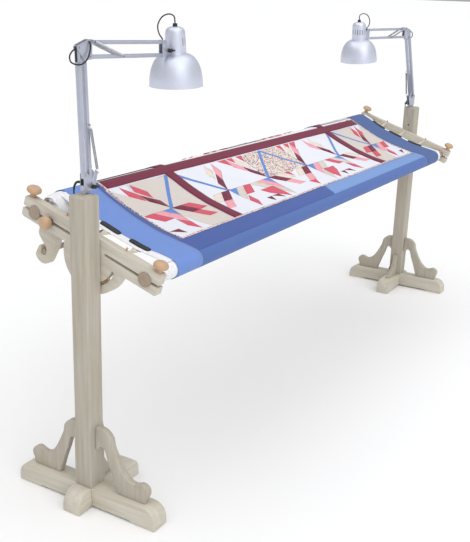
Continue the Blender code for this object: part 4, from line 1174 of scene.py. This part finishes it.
def spring_mesh(start, end, radius=0.0038, wire=0.00065, pitch=0.0017):
    """Close-wound spring between two eyes: a helix about the line, straight at both ends."""
    start, end = np.asarray(start, float), np.asarray(end, float)
    along = end - start
    length = np.linalg.norm(along)
    along = along / length
    side = np.cross(along, (0.2, 0.9, 0.3))
    side /= np.linalg.norm(side)
    other = np.cross(along, side)
    tail = 0.012
    turns = (length - 2 * tail) / pitch
    t = np.linspace(0, 1, int(turns * 10))
    angle = 2 * math.pi * turns * t
    coil = start + along * (tail + (length - 2 * tail) * t)[:, None]
    coil = coil + radius * (side * np.cos(angle)[:, None] + other * np.sin(angle)[:, None])
    lead_in = start + along * np.linspace(0, tail * 0.9, 4)[:, None]
    lead_out = end - along * np.linspace(tail * 0.9, 0, 4)[:, None]
    return swept(np.vstack([lead_in, coil, lead_out]), wire, 6)


def pin_head(side, origin, across, radius, sign):
    """Domed rivet head on a plate's outer face."""
    a, b, c = (Vector(w) for w in lamp_axes(side))
    turn = Matrix((a, -c * sign, b * sign)).transposed().to_4x4()
    place = Matrix.Translation(Vector(origin) + b * across) @ turn
    profile = [(0, 0.0016), (radius * 0.5, 0.0014), (radius * 0.88, 0.0008), (radius, 0.0), (0, 0.0)]
    return turned(profile, 18, place)


def joined(meshes):
    shape = bmesh.new()
    for mesh in meshes:
        shape.from_mesh(mesh)
    whole = bpy.data.meshes.new("joined")
    shape.to_mesh(whole)
    shape.free()
    return whole


def make_lamp(side):
    name = side + "_lamp_"
    for part in ("base", "elbow", "head"):
        refined(name + part, TUBE_SILVER, name + part, "silver_paint", 0.0004)
    for part in ("lower_tube_a", "lower_tube_b", "upper_tube_a", "upper_tube_b"):
        refined(name + part, TUBE_SILVER, name + part, "silver_paint", 0.0011, 3, 60)
    for part in ("base_wing", "shade_wing"):
        refined(name + part, BLACK, name + part, "black_plastic", 0.0012, 2)
    make_shade(side)
    joints = {"base": ("lower_arm", "lower_pair"), "elbow": ("elbow_level", "upper_arm", "upper_pair"),
              "head": ("head_level",)}
    for body, pins in joints.items():
        rivets = []
        for pin in pins:
            for sign in (-1, 1):
                rivets.append(pin_head(side, joint_at(name + pin), sign * PLATE_OUT, 0.0042, sign))
        put(name + body + "_rivets", joined(rivets), STEEL, name + body, "steel")
    make_springs(side)
    make_cables(side)


LOWER_SPRING_END = 0.178
UPPER_SPRING_END = 0.158


def make_springs(side):
    """Two springs on each arm, from a plate's corner to the second tube."""
    name = side + "_lamp_"
    base = joint_at(name + "swivel")
    second_low = joint_at(name + "lower_pair")
    lean = joint_at(name + "elbow_level") - joint_at(name + "lower_arm")
    lean = lean / np.linalg.norm(lean)
    second_up = joint_at(name + "upper_pair")
    rise = joint_at(name + "head_level") - joint_at(name + "upper_arm")
    rise = rise / np.linalg.norm(rise)
    for number, sign in ((1, -1), (2, 1)):
        out = sign * 0.0130
        low_start = lamp_place(side, base, 0.053, out, 0.062)
        low_end = second_low + lean * LOWER_SPRING_END + lamp_axes(side)[1] * out
        low = put(f"{name}lower_spring_{number}", spring_mesh(low_start, low_end), SPRING_STEEL, None,
                  "steel")
        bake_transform(low)
        up_start = lamp_place(side, joint_at(name + "upper_arm"), 0.006, out, 0.006)
        up_end = second_up + rise * UPPER_SPRING_END + lamp_axes(side)[1] * out
        up = put(f"{name}upper_spring_{number}", spring_mesh(up_start, up_end), SPRING_STEEL, None, "steel")
        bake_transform(up)
    across = lamp_axes(side)[1] * 0.0150
    for body, centre in (("lower_tube_b", second_low + lean * LOWER_SPRING_END),
                         ("upper_tube_b", second_up + rise * UPPER_SPRING_END)):
        put(f"{name}{body}_spring_pin", swept([centre - across, centre + across], 0.0020, 14), STEEL,
            name + body, "steel")
    pin = lamp_place(side, joint_at(name + "upper_arm"), 0.006, 0, 0.006)
    put(name + "elbow_spring_pin", swept([pin - across, pin + across], 0.0020, 14), STEEL, name + "elbow",
        "steel")


CABLE_R = 0.0023


def make_cables(side):
    """Slack loops of cable where the lead crosses the elbow and the shade's pivot."""
    name = side + "_lamp_"
    low = joint_at(name + "lower_arm")
    elbow = joint_at(name + "elbow_level")
    lean = (elbow - low) / np.linalg.norm(elbow - low)
    ahead = lamp_axes(side)[0]
    square = lean * lean.dot(ahead) - ahead
    square = square / np.linalg.norm(square)
    beside = -lamp_axes(side)[1]
    loop = [elbow - lean * 0.004 + square * 0.0075, elbow - lean * 0.006 + square * 0.018,
            elbow - lean * 0.020 + square * 0.034, elbow - lean * 0.038 + square * 0.030,
            elbow - lean * 0.047 + square * 0.008 + beside * 0.012,
            elbow - lean * 0.040 - square * 0.018 + beside * 0.014,
            elbow - lean * 0.022 - square * 0.036 + beside * 0.014,
            elbow + lean * 0.004 - square * 0.045 + beside * 0.013,
            elbow + lean * 0.016 - square * 0.044 + beside * 0.010]
    cable = put(name + "elbow_cable", swept(smooth_line(loop, 60), CABLE_R, 10), CORD, None, "black_plastic")
    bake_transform(cable)
    guard = [elbow - lean * 0.040 + square * 0.0070, elbow + lean * 0.004 + square * 0.0070]
    put(name + "elbow_guard", swept(smooth_line(guard, 12), 0.0030, 12), BLACK, name + "lower_tube_a",
        "black_plastic")
    place = shade_frame(side)
    top = np.array(place @ Vector((SHADE_AXIS, 0, SHADE_TOP + 0.009)))
    rise = np.array(place.to_3x3() @ Vector((0, 0, 1)))
    back = -ahead
    upward = np.array((0, 0, 1.0))
    tube_top = joint_at(name + "head_level") + upward * 0.0085
    end = top + back * 0.072 + upward * (tube_top - top).dot(upward)
    arc = [top, top + rise * 0.022 + back * 0.004, top + upward * 0.031 + back * 0.036,
           top + upward * 0.021 + back * 0.078, top - upward * 0.004 + back * 0.100,
           top - upward * 0.028 + back * 0.094, end]
    cable = put(name + "shade_cable", swept(smooth_line(arc, 60), CABLE_R, 10), CORD, None, "black_plastic")
    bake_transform(cable)


# ---------------------------------------------------------------- floor and light
def make_studio():
    wide, low = 300.0, -0.0005
    corners = [(-wide, -wide, low), (wide, -wide, low), (wide, wide, low), (-wide, wide, low)]
    sheet = new_mesh("studio_floor", corners, [(0, 1, 2, 3)], smooth=False)
    floor = bpy.data.objects.new("studio_floor", sheet)
    paper = bpy.data.materials.new("studio_paper")
    paper.use_nodes = True
    paper.node_tree.nodes["Principled BSDF"].inputs["Base Color"].default_value = (0.93, 0.93, 0.93, 1)
    paper.node_tree.nodes["Principled BSDF"].inputs["Roughness"].default_value = 0.9
    floor.data.materials.append(paper)
    bpy.context.scene.collection.objects.link(floor)
    world = bpy.data.worlds.new("studio")
    world.use_nodes = True
    world.node_tree.nodes["Background"].inputs["Color"].default_value = (0.97, 0.98, 1.0, 1)
    world.node_tree.nodes["Background"].inputs["Strength"].default_value = 0.42
    bpy.context.scene.world = world
    # Name, the way towards the light, strength, and the angle that it spreads over.
    lights = (("overhead", (-0.10, -0.10, 1.0), 1.9, 1.6), ("key", (-0.55, -1.0, 0.55), 0.75, 0.9))
    for name, source, power, spread in lights:
        lamp = bpy.data.lights.new(name, "SUN")
        lamp.angle = spread
        lamp.energy = power
        made = bpy.data.objects.new(name, lamp)
        made.rotation_euler = (-Vector(source)).to_track_quat("-Z", "Y").to_euler()
        bpy.context.scene.collection.objects.link(made)
    bpy.context.scene.view_settings.view_transform = "Standard"


# ---------------------------------------------------------------- the whole scene
make_camera()
for lead_side, lead_sign in SIDES:
    make_lead(lead_side, lead_sign)
make_woodwork()
make_poles()
make_knobs()
make_quilt()
make_clips()
for lamp_side, _ in SIDES:
    make_lamp(lamp_side)
make_studio()
